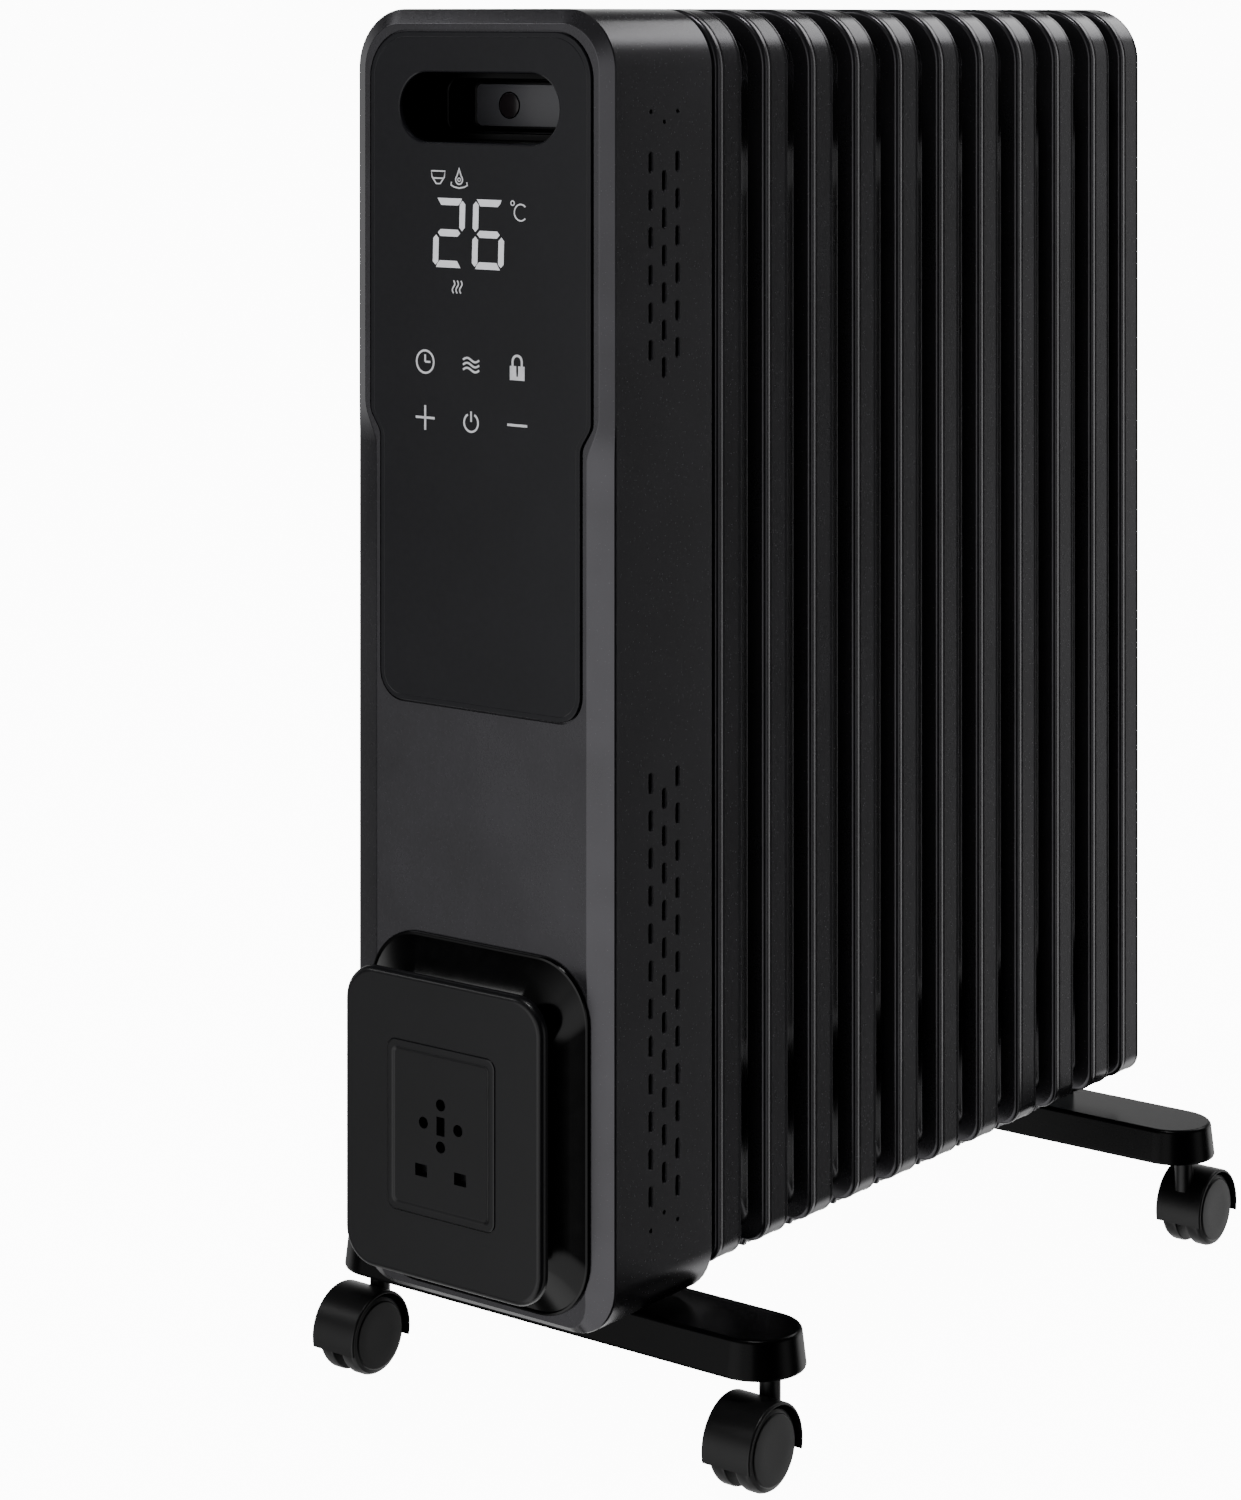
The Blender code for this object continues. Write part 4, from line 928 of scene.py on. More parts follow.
def gland():
    """The cord's rubber gland: collar outside, ribbed sleeve, flange inside."""
    centre, radius = (gland_low + gland_high) / 2, (gland_high.z - gland_low.z) / 2
    outer, inner = gland_low.x - shell_low.x, gland_high.x - shell_low.x
    profile = [(0, outer + 0.0015), (0.0028, outer + 0.0015), (0.0030, outer),
               (0.0046, outer), (0.0052, outer + 0.0010), (0.0052, outer + 0.0022),
               (0.0062, outer + 0.0026), (0.0062, outer + 0.0038),
               (0.0072, outer + 0.0042), (0.0072, outer + 0.0054),
               (radius - 0.0006, outer + 0.0062), (radius, -0.0008), (radius, -LAY),
               (0.0058, -LAY), (0.0058, inner - 0.0006), (0.0052, inner), (0, inner)]
    return turned("gland", profile, "X", (shell_low.x, centre.y, centre.z), 40)


class RADIATOR_OT_housing(bpy.types.Operator):
    """Builds the housing with its bevel and vents, and its rubber gland"""
    bl_idname = "radiator.housing"
    bl_label = "Housing"

    def execute(self, context):
        dress(housing_shell(context.scene.radiator_housing), 22.0, "housing",
              powder_coat(), ["housing_shell"])
        repaint("housing_bulkhead", zinc_plate())
        dress(gland(), 32.0, "gland", rubber(), ["cord_gland"])
        return {"FINISHED"}


# -------------------------------------------------------------------- panel

class Marks:
    """Flat closed shapes on the panel's face, gathered into one mesh."""

    def __init__(self, front):
        self.work = bmesh.new()
        self.front, self.back = front - 0.00012, front + 0.0002

    def prism(self, outline):
        rings = [[self.work.verts.new((x, y, z)) for x, z in outline]
                 for y in (self.front, self.back)]
        count = len(outline)
        self.work.faces.new(rings[0])
        self.work.faces.new(rings[1][::-1])
        for i in range(count):
            j = (i + 1) % count
            self.work.faces.new((rings[0][j], rings[0][i], rings[1][i], rings[1][j]))

    def line(self, points, width, closed=False):
        """A ribbon of even width along (x, z) points."""
        count = len(points)
        sides = []
        for i, (x, z) in enumerate(points):
            before = points[i - 1] if closed or i else points[0]
            after = points[(i + 1) % count] if closed or i < count - 1 else points[-1]
            dx, dz = after[0] - before[0], after[1] - before[1]
            size = math.hypot(dx, dz) or 1.0
            nx, nz = -dz / size * width / 2, dx / size * width / 2
            sides.append([self.work.verts.new((x + s * nx, y, z + s * nz))
                          for s, y in ((1, self.front), (-1, self.front),
                                       (-1, self.back), (1, self.back))])
        for i in range(count if closed else count - 1):
            a, b = sides[i], sides[(i + 1) % count]
            for k in range(4):
                m = (k + 1) % 4
                self.work.faces.new((a[k], a[m], b[m], b[k]))
        if not closed:
            self.work.faces.new(sides[0][::-1])
            self.work.faces.new(sides[-1])

    def done(self, name):
        bmesh.ops.recalc_face_normals(self.work, faces=self.work.faces)
        mesh = bpy.data.meshes.new(name)
        self.work.to_mesh(mesh)
        self.work.free()
        return new_object(name, mesh)


def digit(marks, x, z, panel, lit):
    """A seven-segment figure whose lower left corner is at (x, z)."""
    w, h, t, gap = panel.digit_width, panel.digit_height, panel.digit_stroke, 0.0010
    right, top, middle, half = x + w, z + h, z + h / 2, t / 2
    flat = {
        "a": [(x + 2 * gap, top), (right - 2 * gap, top), (right - gap - half, top - half),
              (right - t - gap, top - t), (x + t + gap, top - t)],
        "d": [(x + 2 * gap, z), (x + gap + half, z + half), (x + t + gap, z + t),
              (right - t - gap, z + t), (right - 2 * gap, z)],
        "g": [(x + half + gap, middle), (x + t + gap, middle + half),
              (right - t - gap, middle + half), (right - half - gap, middle),
              (right - t - gap, middle - half), (x + t + gap, middle - half)],
    }
    for name, edge, inner, low, high in (
            ("b", right, right - t, middle, top), ("c", right, right - t, z, middle),
            ("e", x, x + t, z, middle), ("f", x, x + t, middle, top)):
        core = (edge + inner) / 2
        flat[name] = [(core, low + gap), (edge, low + half + gap),
                      (edge, high - half - gap), (core, high - gap),
                      (inner, high - half - gap), (inner, low + half + gap)]
    for name in lit:
        marks.prism([(px + 0.03 * (pz - z), pz) for px, pz in flat[name]])


def wave(x, z, width, height, upright=False):
    """One period of a sine, along the panel or up it."""
    points = []
    for k in range(14):
        t = k / 13
        along, across = width * (t - 0.5), height * math.sin(2 * math.pi * t)
        points.append((x + across, z + along) if upright else (x + along, z + across))
    return points


def touch_marks(panel):
    """The six touch marks: timer, air, lock, plus, power, minus."""
    marks = Marks(panel_low.y)
    stroke = panel.mark_stroke
    base = panel_low.z
    low, high = base + 0.1273, base + 0.1522
    left, middle, right = -0.0304, -0.0038, 0.0224
    marks.line(arc(0.0050, (left, high), 0, 345, 24), stroke, True)
    marks.line([(left, high + 0.0032), (left, high)], stroke)
    marks.line([(left, high), (left + 0.0030, high)], stroke)
    for shift in (-0.0022, 0.0, 0.0022):
        marks.line(wave(middle, high + shift, 0.0092, 0.0009), stroke)
    body = [(right - 0.0041, high - 0.0052), (right + 0.0041, high - 0.0052),
            (right + 0.0041, high + 0.0010), (right + 0.0006, high + 0.0010),
            (right + 0.0006, high - 0.0014), (right + 0.0004, high - 0.0036),
            (right - 0.0004, high - 0.0036), (right - 0.0006, high - 0.0014),
            (right - 0.0006, high + 0.0010), (right - 0.0041, high + 0.0010)]
    marks.prism(body)
    marks.line([(right - 0.0026, high + 0.0010)] + arc(
        0.0026, (right, high + 0.0030), 180, 0, 9) + [(right + 0.0026, high + 0.0010)],
        stroke * 1.2)
    marks.line([(left - 0.0055, low), (left + 0.0055, low)], stroke * 1.15)
    marks.line([(left, low - 0.0055), (left, low + 0.0055)], stroke * 1.15)
    marks.line(arc(0.0040, (middle, low - 0.0006), 118, 422, 24), stroke)
    marks.line([(middle, low - 0.0002), (middle, low + 0.0044)], stroke)
    marks.line([(right - 0.0056, low), (right + 0.0056, low)], stroke * 1.2)
    return marks.done("touch_marks")


def small_marks(panel):
    """The display's small marks: water tray, drying, degrees and warm air."""
    marks = Marks(panel_low.y)
    stroke = panel.mark_stroke * 0.72
    base = panel_low.z
    x, z = -0.0228, base + 0.2344
    marks.line([(x - 0.0040, z + 0.0030), (x + 0.0040, z + 0.0030),
                (x + 0.0036, z + 0.0004), (x + 0.0012, z - 0.0026),
                (x - 0.0012, z - 0.0026), (x - 0.0036, z + 0.0004)], stroke, True)
    marks.line([(x - 0.0032, z - 0.0002), (x + 0.0032, z - 0.0002)], stroke)
    x, z = -0.0107, base + 0.2344
    marks.line(arc(0.0020, (x, z - 0.0006), 130, 410, 14) + [(x + 0.0006, z + 0.0026),
               (x, z + 0.0046), (x - 0.0006, z + 0.0026)], stroke, True)
    marks.line(arc(0.0008, (x, z - 0.0006), 0, 330, 10), stroke * 0.7, True)
    ripple = ((-0.0044, -0.0016), (-0.0047, -0.0030), (-0.0030, -0.0038), (0.0, -0.0043),
              (0.0030, -0.0038), (0.0047, -0.0030), (0.0044, -0.0016))
    marks.line([(x + dx, z + dz) for dx, dz in ripple], stroke)
    x, z = 0.0244, base + 0.2204
    marks.line(arc(0.0036, (x, z), 45, 315, 16), stroke)
    marks.line(arc(0.0010, (x - 0.0046, z + 0.0040), 0, 330, 10), stroke * 0.8, True)
    x, z = -0.0118, base + 0.1863
    for shift in (-0.0021, 0.0, 0.0021):
        marks.line(wave(x + shift, z, 0.0056, -0.0007, upright=True), stroke)
    return marks.done("small_marks")


def fascia_plate(panel):
    """The panel with its lower rim, its glossy field and the flared pocket mouth."""
    thick = panel_high.y - panel_low.y
    stations = [(0.0, thick), (0.0, 0.00075), (0.00012, 0.00040), (0.00035, 0.00022),
                (0.00060, 0.00018), (panel.rim, 0.00018), (panel.rim + 0.00018, 0.00010),
                (panel.rim + 0.00035, 0.0)]
    plate = loft("plate", [at_y(panel_outline(inset), panel_low.y + y)
                           for inset, y in stations])
    mouth = loft("mouth", [at_y(pocket_outline(inset), panel_low.y + y) for inset, y in (
        (-0.0016, -0.0005), (-0.0009, -0.00002), (-0.0003, 0.0003), (0.0, 0.0009),
        (0.0, 0.02))])
    return combine(plate, mouth, "DIFFERENCE")


def pocket_tray(panel):
    """The finger pocket: wide mouth, rounded ledge, and a lower inner part."""
    front, wall, step = tray_low.y, panel.pocket_wall, panel.pocket_step
    ledge, back = FRONT + panel.pocket_ledge, tray_high.y - wall
    soft, corner = 0.0011, panel.pocket_corner
    inner = [(0.0, front, None), (0.0, ledge - 0.0004, None), (0.0004, ledge, None)]
    inner += [(step - soft + a, ledge + soft - b, corner + soft)
              for a, b in arc(soft, (0, 0), 90, 0, 5)]
    inner += [(step, back - 0.0020, corner)]
    inner += [(step + 0.0020 - a, back - 0.0020 + b, corner)
              for a, b in arc(0.0020, (0, 0), 0, 90, 5)][1:]
    outer = [(step + 0.0010, back + wall, corner),
             (step - wall, back - 0.001, corner + wall),
             (step - wall, ledge + wall, corner + wall), (-wall, ledge + wall, None),
             (-wall, front, None)]
    return loft("tray", [at_y(pocket_outline(inset, radius), y)
                         for inset, y, radius in outer + inner])


class RADIATOR_OT_panel(bpy.types.Operator):
    """Builds the fascia, its marks and digits, the finger pocket and the receiver lens"""
    bl_idname = "radiator.panel"
    bl_label = "Panel"

    def execute(self, context):
        panel = context.scene.radiator_panel
        dress(fascia_plate(panel), 24.0, "fascia", smoked_fascia(),
              ["control_fascia"])
        dress(pocket_tray(panel), 32.0, "finger_pocket", matt_black(),
              ["grip_pocket"])
        back = lens_high.y
        outline = pocket_outline(panel.pocket_step + 0.0023, panel.pocket_corner - 0.002)
        window = soften(slab("window", outline, back - 0.0006, back + 0.0002), 0.0003)
        # The window's finish carries painted light: a lighter copy of the smoked panel, so
        # the back wall looks lit.
        dress(window, 40.0, "pocket_window", pocket_window_painted_light())

        centre, radius = (lens_low + lens_high) / 2, (lens_high.x - lens_low.x) / 2
        seat = (centre.x, back, centre.z)
        inner, edge = radius - 0.0006, radius - 0.0007
        bezel = [(inner, -0.0007), (radius - 0.0004, -0.0009), (radius - 0.0002, -0.0009),
                 (radius, -0.0007), (radius, -0.0005), (inner, -0.0005), (inner, -0.0007)]
        dress(turned("ring", bezel, "Y", seat, 56), 40.0, "lens_ring", gloss_black())
        dome = [(0.0, -0.0004), (edge, -0.0004), (edge, -0.0007), (edge - 0.0002, -0.0008),
                (edge * 0.7, -0.0009), (edge * 0.35, -0.00095), (0.0, -0.00097)]
        dress(turned("lens", dome, "Y", seat, 56), 40.0, "receiver_lens", smoked_lens(),
              ["ir_receiver"])

        figures = Marks(panel_low.y)
        base = panel_low.z + 0.1947
        for x, lit in ((-0.0260, "abged"), (-0.0034, "acdefg")):
            digit(figures, x, base, panel, lit)
        for marks, name, finish_name, glow in (
                (figures.done("digits"), "display_digits", "lit_digits", 0.55),
                (touch_marks(panel), "touch_marks", "lit_marks", 0.25),
                (small_marks(panel), "display_marks", "lit_marks", 0.25)):
            dress(marks, 30.0, name, lit_mark(finish_name, glow))
        return {"FINISHED"}


# ------------------------------------------------------------------- winder

def winder_outline(width, height, radius, steps=13):
    return rounded_rect(width / 2, WINDER_MIDDLE - height / 2, WINDER_MIDDLE + height / 2,
                        radius, radius, steps)


def winder_neck(winder):
    """The flared neck, with a raised bead round its foot."""
    base, depth = neck_high.y, neck_high.y - neck_low.y
    extra_width = neck_high.x - neck_low.x - winder.neck_width
    extra_height = neck_high.z - neck_low.z - winder.neck_height
    bead = 0.0014
    stations = [(1.0, 0.0), (1.0, 0.0010), (0.985, 0.0018), (0.955, 0.0020), (0.945, bead)]
    for t in [k / 14 for k in range(1, 15)]:
        stations.append((0.93 * (1 - t) ** 2.3, bead + (depth - bead) * t ** 0.85))
    return loft("neck", [at_y(winder_outline(
        winder.neck_width + extra_width * flare, winder.neck_height + extra_height * flare,
        0.017 + 0.010 * flare), base - along) for flare, along in stations])


def winder_plate(winder):
    """The front plate with a rounded edge, and the opening that the socket fills."""
    width, height = plate_high.x - plate_low.x, plate_high.z - plate_low.z
    front, back, soft = plate_low.y, plate_high.y, winder.plate_round
    stations = [(0.0006, back), (0.0, back - 0.0006)]
    stations += [(soft - a, front + soft - b) for a, b in arc(soft, (0, 0), 0, 90, 7)]
    plate = loft("plate", [at_y(winder_outline(width - 2 * inset, height - 2 * inset,
                                               winder.plate_radius - inset), y)
                           for inset, y in stations])
    play = 0.00015
    hole = slab("hole", winder_outline(socket_high.x - socket_low.x + 2 * play,
                                       socket_high.z - socket_low.z + 2 * play, 0.0048, 7),
                front - 0.01, socket_high.y + play)
    combine(plate, hole, "DIFFERENCE")
    return pin_holes(winder, plate, front, back - 0.0006)


def pin_holes(winder, plate, y_low, y_high):
    """Cuts the four round holes and three slots that a plug's pins park in."""
    z = WINDER_MIDDLE + 0.0033
    for x, dz in ((0, 0.0093), (-0.0098, 0.0), (0.0098, 0.0), (0, -0.0090)):
        combine(plate, rod("hole", 0.0026, y_low, y_high, "Y", (x, 0, z + dz), 32),
                "DIFFERENCE")
    pin, drop = winder.pin_pitch / 2, winder.pin_drop
    for x, height, half_x, half_z in ((0.0, z, 0.0023, 0.0041),
                                      (-pin, z - drop, 0.0034, 0.0027),
                                      (pin, z - drop, 0.0034, 0.0027)):
        outline = rectangle(x, height, half_x, half_z)
        combine(plate, slab("slot", outline, y_low, y_high), "DIFFERENCE")
    return plate


def parking_socket(winder):
    """The socket plate: rounded rim, sunk field, and the holes for the pins."""
    width, height = socket_high.x - socket_low.x, socket_high.z - socket_low.z
    face, back, rim = socket_low.y, socket_high.y, winder.socket_rim
    stations = [(0.0, back), (0.0, face + 0.0006), (0.0003, face + 0.0002),
                (0.0009, face), (rim - 0.0008, face), (rim, face + 0.0001),
                (rim + 0.0004, face + 0.0004), (rim + 0.0010, face + 0.0005)]
    plate = loft("socket", [at_y(winder_outline(width - 2 * inset, height - 2 * inset,
                                                max(0.0045 - 0.6 * inset, 0.0014), 7), y)
                            for inset, y in stations])
    return pin_holes(winder, plate, face - 0.01, back + 0.01)


class RADIATOR_OT_winder(bpy.types.Operator):
    """Builds the cord winder's neck and plate and the plug parking socket"""
    bl_idname = "radiator.winder"
    bl_label = "Cord winder"

    def execute(self, context):
        winder = context.scene.radiator_winder
        dress(winder_neck(winder), 38.0, "winder_neck_flared", gloss_black(),
              ["winder_neck"])
        dress(winder_plate(winder), 32.0, "winder_front_plate", satin_black(),
              ["winder_plate"])
        dress(parking_socket(winder), 32.0, "plug_parking_socket", satin_black(),
              ["parking_socket"])
        return {"FINISHED"}


# --------------------------------------------------------- feet and fixings

def foot_body(node, holes):
    """A foot bar with round ends, drafted sides, and a soft upper edge."""
    low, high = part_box(node)
    y, radius = (low.y + high.y) / 2, (high.y - low.y) / 2
    reach = (high.x - low.x) / 2 - radius
    soft, lean = 0.0020, 0.0017
    stations = [(0.0012, low.z), (0.0004, low.z + 0.0003), (0.0, low.z + 0.0012),
                (0.0001, low.z + 0.0020), (lean, high.z - soft)]
    stations += [(lean + soft - a, high.z - soft + b)
                 for a, b in arc(soft, (0, 0), 10, 90, 6)]
    rings = []
    for inset, z in stations:
        outline = [(reach + px, py) for px, py in arc(radius - inset, (0, 0), -90, 90, 25)]
        outline += [(-px, -py) for px, py in outline]
        rings.append([Vector((px, y + py, z)) for px, py in outline])
    body = loft("foot", rings)
    for x, hole_y, hole_radius, top in holes:
        combine(body, rod("hole", hole_radius, -0.1, 0.0, "Z", (x, hole_y, top), 32),
                "DIFFERENCE")
    return body


def stem_holes(node, names):
    """Where the casters' stems go up into a foot: (x, y, radius, top)."""
    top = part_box(node)[1].z - 0.0036
    return [(*AXES[f"{name}_swivel"].xy, STEM_BORE, top) for name in names]


def foot_screw(side):
    """A raised head with a cross recess under the foot, and the shank through it."""
    low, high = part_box(f"front_foot_screw_{side}")
    x, y = (low.x + high.x) / 2, (low.y + high.y) / 2
    head, under = (high.x - low.x) / 2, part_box("foot_front")[0].z - LAY
    profile = [(0, low.z + 0.0002), (0.0010, low.z + 0.0001), (head * 0.6, low.z + 0.0003),
               (head * 0.9, low.z + 0.0008), (head, low.z + 0.0014), (head, under),
               (0.0020, under), (0.0020, high.z - 0.0006), (0.0015, high.z), (0, high.z)]
    screw = turned("screw", profile, "Z", (x, y, 0), 32)
    for half_x, half_y in ((0.00035, 0.0018), (0.0018, 0.00035)):
        combine(screw, post("cross", rectangle(x, y, half_x, half_y), low.z - 0.001,
                            low.z + 0.0011), "DIFFERENCE")
    return screw, (x, y, 0.0023, high.z + 0.01)


def clamp_bolt(low, high, bolt_y, bolt, half):
    """The U bolt as a swept rod; its threaded ends are ridged every 0.8 mm."""
    ends, crest = low.z + 0.018, high.z - half - bolt
    path = [(half, low.z)]
    path += [(half, low.z + 0.0006 + 0.0004 * k) for k in range(44)]
    path += [(half, crest)] + arc(half, (0, crest), 0, 180, 33)[1:]
    path += [(-x, z) for x, z in reversed(path[:45])]
    rings, last, aside = [], len(path) - 1, Vector((0, 1, 0))
    for i, (x, z) in enumerate(path):
        after, before = path[min(i + 1, last)], path[max(i - 1, 0)]
        ahead = Vector((after[0] - before[0], 0, after[1] - before[1])).normalized()
        across = aside.cross(ahead)
        size = bolt - (0.00035 if z < ends and i % 2 else 0.0)
        if i in (0, last):
            size = bolt - 0.0008
        rings.append([Vector((x, bolt_y, z)) + size * (
            math.cos(t) * across + math.sin(t) * aside)
            for t in (2 * math.pi * k / 20 for k in range(20))])
    return loft("bolt", rings)


def filler_plug():
    """The oil filler plug: a round head with a hexagon key hole."""
    radius = (plug_high.x - plug_low.x) / 2
    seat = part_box(FIN_NODES[-1])[1].y + LAY
    tip, key = plug_high.y - seat, 0.0062
    plug = turned("plug", [(0, plug_low.y - seat), (0.0133, plug_low.y - seat),
                           (0.0133, 0.0), (radius, 0.0), (radius, tip - 0.0009),
                           (radius - 0.0009, tip), (0.0110, tip), (0.0100, tip - 0.0006),
                           (0, tip - 0.0006)], "Y", (0, seat, LOWER_HEADER), 48)
    hexagon = arc(key, (0, LOWER_HEADER), 0, 300, 6)
    return combine(plug, slab("key", hexagon, seat + 0.0005, seat + 0.02), "DIFFERENCE")


class RADIATOR_OT_feet(bpy.types.Operator):
    """Builds both feet with their screws, U bolt, saddle, wing nuts and filler plug"""
    bl_idname = "radiator.feet"
    bl_label = "Feet"

    def execute(self, context):
        holes = stem_holes("foot_front", CASTERS[:2])
        for side in ("left", "right"):
            screw, hole = foot_screw(side)
            holes.append(hole)
            dress(screw, 32.0, f"foot_screw_{side}", bare_steel(),
                  [f"front_foot_screw_{side}"])
        dress(foot_body("foot_front", holes), 32.0, "front_foot_bar", foot_black(),
              ["foot_front"])

        low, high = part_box("rear_u_bolt")
        bolt_y, bolt = (low.y + high.y) / 2, (high.y - low.y) / 2
        half = high.x - bolt
        holes = stem_holes("foot_rear", CASTERS[2:])
        holes += [(side * half, bolt_y, bolt + LAY, high.z) for side in (-1, 1)]
        rear = foot_body("foot_rear", holes)
        for side in ("left", "right"):
            # The wing nuts sit in wells under the bar.
            nut_low, nut_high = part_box(f"wing_nut_{side}")
            outline = rectangle((nut_low.x + nut_high.x) / 2, bolt_y,
                                (nut_high.x - nut_low.x) / 2 + 0.0015, 0.0067)
            combine(rear, post("well", outline, 0.0, nut_high.z + LAY), "DIFFERENCE")
        dress(rear, 32.0, "rear_foot_bar", foot_black(), ["foot_rear"])
        dress(clamp_bolt(low, high, bolt_y, bolt, half), 50.0, "clamp_bolt", zinc_plate(),
              ["rear_u_bolt"])
        for node in ("rear_saddle", "wing_nut_left", "wing_nut_right"):
            repaint(node, zinc_plate())
        dress(filler_plug(), 30.0, "oil_filler_plug", zinc_plate(),
              ["filler_plug"])
        return {"FINISHED"}


# ------------------------------------------------------------------ casters

def caster_hood(casters, name):
    """One caster's hood round its two wheels, open at the sides and below."""
    stem = AXES[f"{name}_swivel"]
    axle = AXES[f"{name}_wheel_a_spin"]
    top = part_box(f"{name}_hood")[1].z
    inner = casters.wheel_radius + casters.hood_gap
    outer, half = inner + casters.hood_wall, casters.hood_half
    soft = 0.0011
    profile = [(0, -half), (outer - soft, -half)]
    profile += [(outer - soft + a, -half + soft - b)
                for a, b in arc(soft, (0, 0), 90, 0, 5)]
    profile += [(r, -h) for r, h in reversed(profile)]
    hood = turned("hood", profile, "X", axle, 72)
    boss = casters.boss_radius
    column = [(0, axle.z + inner - 0.0077), (boss, axle.z + inner - 0.0077),
              (boss, top - 0.0009), (boss - 0.0003, top - 0.0003), (boss - 0.0009, top),
              (0, top)]
    combine(hood, turned("boss", column, "Z", (stem.x, stem.y, 0), 40), "UNION")
    for side in (-1, 1):
        low, high = sorted((side * casters.web_half, side * 0.03))
        combine(hood, rod("space", inner, low, high, "X", axle, 72), "DIFFERENCE")
    floor = axle.z - casters.hood_drop
    block = post("block", rectangle(stem.x, axle.y, 0.03, 0.03), -0.03, floor)
    combine(hood, block, "DIFFERENCE")
    combine(hood, rod("bore", STEM_BORE, axle.z + inner - 0.0007, 0.08, "Z",
                      (stem.x, stem.y, 0), 32), "DIFFERENCE")
    return combine(hood, rod("bore", AXLE_BORE, -0.03, 0.03, "X", axle, 32), "DIFFERENCE")


def caster_wheel(casters, node, side):
    """A wheel with a rounded tread, and a plain disc that a fine step sets off."""
    axle = AXES[f"{node}_spin"]
    inside, face = sorted(abs(corner.x - axle.x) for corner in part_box(node))
    r = casters.wheel_radius
    profile = [(0, face - 0.0002), (r * 0.45, face), (r - 0.0036, face),
               (r - 0.0031, face - 0.0002), (r - 0.0027, face - 0.0007),
               (r - 0.0023, face - 0.0008), (r - 0.0011, face - 0.0013),
               (r - 0.0004, face - 0.0024), (r, face - 0.0036), (r, inside + 0.0016),
               (r - 0.0004, inside + 0.0005), (r - 0.0012, inside),
               (AXLE_BORE, inside), (AXLE_BORE, face - 0.0021), (0, face - 0.0021)]
    return turned("wheel", [(radius, side * x) for radius, x in profile], "X", axle, 72)


class RADIATOR_OT_casters(bpy.types.Operator):
    """Builds the four casters: hood, two wheels, and the finish of stem and axle"""
    bl_idname = "radiator.casters"
    bl_label = "Casters"

    def execute(self, context):
        casters = context.scene.radiator_casters
        nylon = caster_nylon()
        for name in CASTERS:
            dress(caster_hood(casters, name), 32.0, f"{name}_cover", nylon,
                  [f"{name}_hood"], name)
            for side, wheel in ((-1, f"{name}_wheel_a"), (1, f"{name}_wheel_b")):
                dress(caster_wheel(casters, wheel, side), 34.0, f"{wheel}_tread", nylon,
                      [wheel], f"{wheel}_roll")
            for part in ("stem", "axle"):
                repaint(f"{name}_{part}", bare_steel())
        return {"FINISHED"}


# ---------------------------------------------------------------- electrics

class RADIATOR_OT_electrics(bpy.types.Operator):
    """Gives the boards, switch, sensors and element their finishes"""
    bl_idname = "radiator.electrics"
    bl_label = "Electrics"

    def execute(self, context):
        for node, made in (("display_module", display_black), ("power_relay", relay_blue),
                           ("control_board", circuit_board), ("power_board", circuit_board),
                           ("terminal_block", white_nylon), ("tilt_switch", white_nylon),
                           ("thermal_cutout", bare_steel), ("air_sensor", white_nylon),
                           ("element_flange", turned_brass),
                           ("heating_element", element_sheath)):
            repaint(node, made())
        return {"FINISHED"}


# -------------------------------------------------------------------- stage

CAMERA_AZIMUTH = math.radians(37.45)
CAMERA_PLACE = (1.0247, -1.2354, 0.6373)   # from the middle of the housing's front
CAMERA_LENS = 105.5                        # mm
SENSOR_WIDTH = 36.0                        # mm
HORIZON_SHIFT = -0.5924                    # in place of a tilt, so uprights stay so


def softbox(name, place, target, size, power):
    light = bpy.data.lights.new(name, "AREA")
    light.shape = "RECTANGLE"
    light.size, light.size_y = size
    light.energy = power
    obj = new_object(name, light)
    obj.location = place
    obj.rotation_euler = (Vector(target) - obj.location).to_track_quat("-Z", "Y").to_euler()


FLOOR_REACH = 15.0                         # from the middle to each side
BRIGHTEST = 4.0                            # level at the top of the light's curve
BACKDROP = 12.0                            # strength of the white floor and backdrop

# How bright the surroundings are, by bearing in degrees from +Y towards +X.
BEARINGS = ((-180, 1.25), (-165, 1.90), (-152, 1.80), (-143, 1.00), (-138, 0.35),
            (-128, 0.10), (-114, 0.15), (-98, 0.95), (-86, 0.95), (-74, 0.40), (-55, 0.80),
            (-37, 1.50), (-12, 0.80), (6, 1.40), (16, 1.90), (26, 1.50), (31, 0.30),
            (38, 0.02), (50, 0.05), (60, 0.50), (72, 0.90), (84, 0.50), (98, 0.02),
            (140, 0.02), (148, 0.05), (154, 0.80), (160, 1.30), (168, 1.30), (180, 1.25))


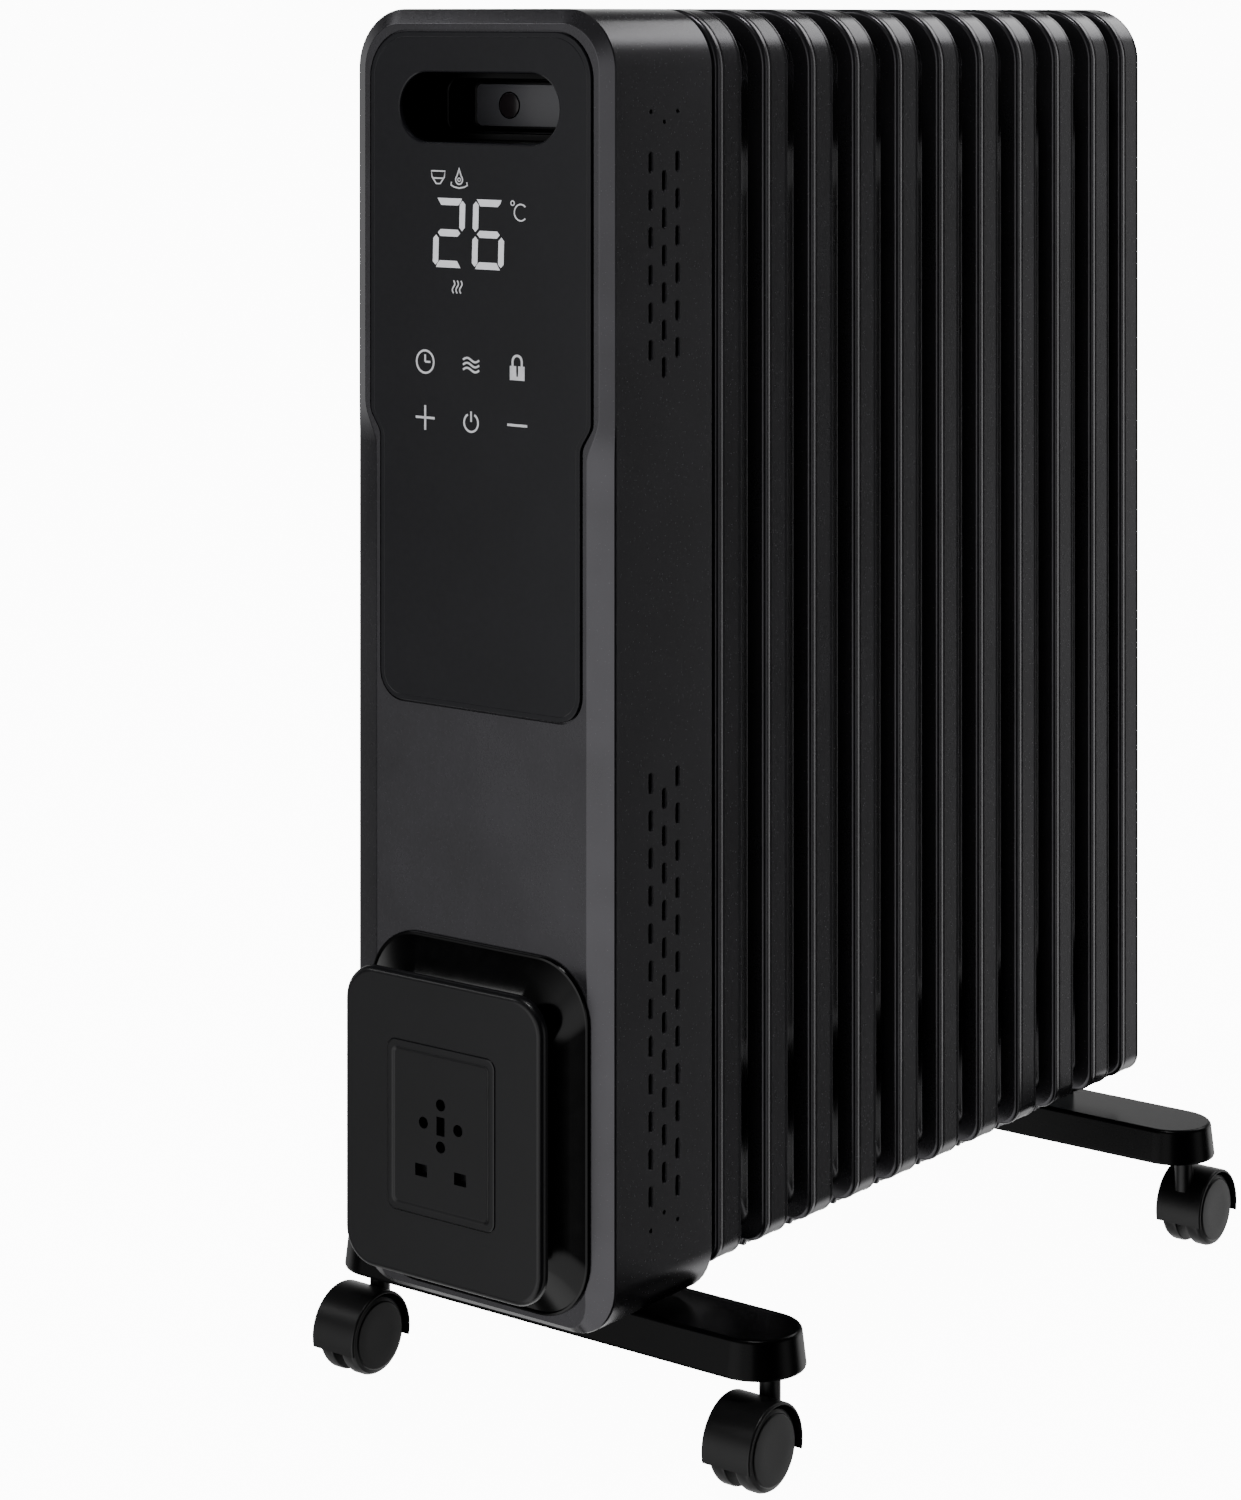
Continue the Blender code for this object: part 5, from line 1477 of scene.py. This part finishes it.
def studio_world():
    """White backdrop for the camera, and soft tall lights all round for the piece."""
    world = bpy.data.worlds.new("studio")
    world.use_nodes = True
    tree = world.node_tree
    tree.nodes.clear()
    place = add_node(tree, "ShaderNodeTexCoord")
    split = add_node(tree, "ShaderNodeSeparateXYZ",
                     links=[(place.outputs["Generated"], "Vector")])
    bearing = add_node(tree, "ShaderNodeMath", operation="ARCTAN2", links=[
        (split.outputs["X"], 0), (split.outputs["Y"], 1)])
    turn = add_node(tree, "ShaderNodeMapRange",
                    {"From Min": -math.pi, "From Max": math.pi},
                    [(bearing.outputs[0], "Value")])
    ramp = add_node(tree, "ShaderNodeFloatCurve", links=[(turn.outputs["Result"], "Value")])
    curve = ramp.mapping.curves[0]
    for degrees, level in BEARINGS:
        at = (degrees + 180) / 360
        if at in (0.0, 1.0):
            curve.points[int(-at)].location = (at, level / BRIGHTEST)
        else:
            curve.points.new(at, level / BRIGHTEST)
    ramp.mapping.update()
    # The light fades towards the zenith.
    high = add_node(tree, "ShaderNodeMapRange",
                    {"From Min": 0.12, "From Max": 0.45, "To Min": 1.0, "To Max": 0.07},
                    [(split.outputs["Z"], "Value")])
    level = add_node(tree, "ShaderNodeMath", links=[
        (ramp.outputs["Value"], 0), (high.outputs["Result"], 1)], operation="MULTIPLY")
    power = add_node(tree, "ShaderNodeMath", {1: BRIGHTEST}, [(level.outputs[0], 0)],
                     operation="MULTIPLY")
    soft = add_node(tree, "ShaderNodeBackground", {"Color": (1, 1, 1, 1)},
                    [(power.outputs[0], "Strength")])
    # Only the camera sees the backdrop itself.
    path = add_node(tree, "ShaderNodeLightPath")
    bright = add_node(tree, "ShaderNodeBackground",
                      {"Color": (1, 1, 1, 1), "Strength": BACKDROP})
    mixed = add_node(tree, "ShaderNodeMixShader", links=[
        (path.outputs["Is Camera Ray"], 0), (soft.outputs[0], 1), (bright.outputs[0], 2)])
    add_node(tree, "ShaderNodeOutputWorld", links=[(mixed.outputs[0], "Surface")])
    return world


class RADIATOR_OT_stage(bpy.types.Operator):
    """Builds the floor, the studio light and the camera"""
    bl_idname = "radiator.stage"
    bl_label = "Stage"

    def execute(self, context):
        corners = [(x, y, 0) for x, y in rectangle(0, 0, FLOOR_REACH, FLOOR_REACH)]
        floor = mesh_object("studio_floor", corners, [(0, 1, 2, 3)])
        floor.data.materials.append(floor_finish())
        floor.visible_glossy = floor.visible_diffuse = False
        context.scene.world = studio_world()
        softbox("rear_top_box", (0.35, 2.2, 2.0), (0, 0.1, 0.5), (1.6, 0.8), 15)
        softbox("front_top_box", (-1.65, -1.60, 1.75), (0, -0.2, 0.35), (0.9, 0.45), 6)
        softbox("top_spot", (0.25, -0.60, 2.4), (0, -0.1, 0.4), (0.45, 0.30), 14)

        camera = bpy.data.cameras.new("camera")
        camera.sensor_fit = "HORIZONTAL"
        camera.sensor_width = SENSOR_WIDTH
        camera.lens = CAMERA_LENS
        camera.shift_y = HORIZON_SHIFT
        camera.clip_end = 100.0
        obj = new_object("camera", camera)
        obj.location = (CAMERA_PLACE[0], FRONT + CAMERA_PLACE[1], CAMERA_PLACE[2])
        obj.rotation_euler = (math.radians(90), 0, CAMERA_AZIMUTH)
        context.scene.camera = obj
        return {"FINISHED"}


class RADIATOR_PT_panel(bpy.types.Panel):
    """Lists the build steps"""
    bl_label = "Radiator"
    bl_idname = "RADIATOR_PT_panel"
    bl_space_type = "VIEW_3D"
    bl_region_type = "UI"
    bl_category = "Radiator"

    def draw(self, context):
        for operator in OPERATORS:
            self.layout.operator(operator.bl_idname)


OPERATORS = (RADIATOR_OT_stage, RADIATOR_OT_fins, RADIATOR_OT_housing, RADIATOR_OT_panel,
             RADIATOR_OT_winder, RADIATOR_OT_feet, RADIATOR_OT_casters,
             RADIATOR_OT_electrics)
CLASSES = (*SETTINGS.values(), *OPERATORS, RADIATOR_PT_panel)


def register():
    for made in CLASSES:
        bpy.utils.register_class(made)
    for name, group in SETTINGS.items():
        setattr(bpy.types.Scene, name, PointerProperty(type=group))


def unregister():
    for name in SETTINGS:
        delattr(bpy.types.Scene, name)
    for made in reversed(CLASSES):
        bpy.utils.unregister_class(made)


def main():
    register()
    for obj in list(bpy.data.objects):
        if obj.name in ("Cube", "Light", "Camera"):
            bpy.data.objects.remove(obj)
    for operator in OPERATORS:
        group, step = operator.bl_idname.split(".")
        getattr(getattr(bpy.ops, group), step)()


if __name__ == "__main__":
    main()
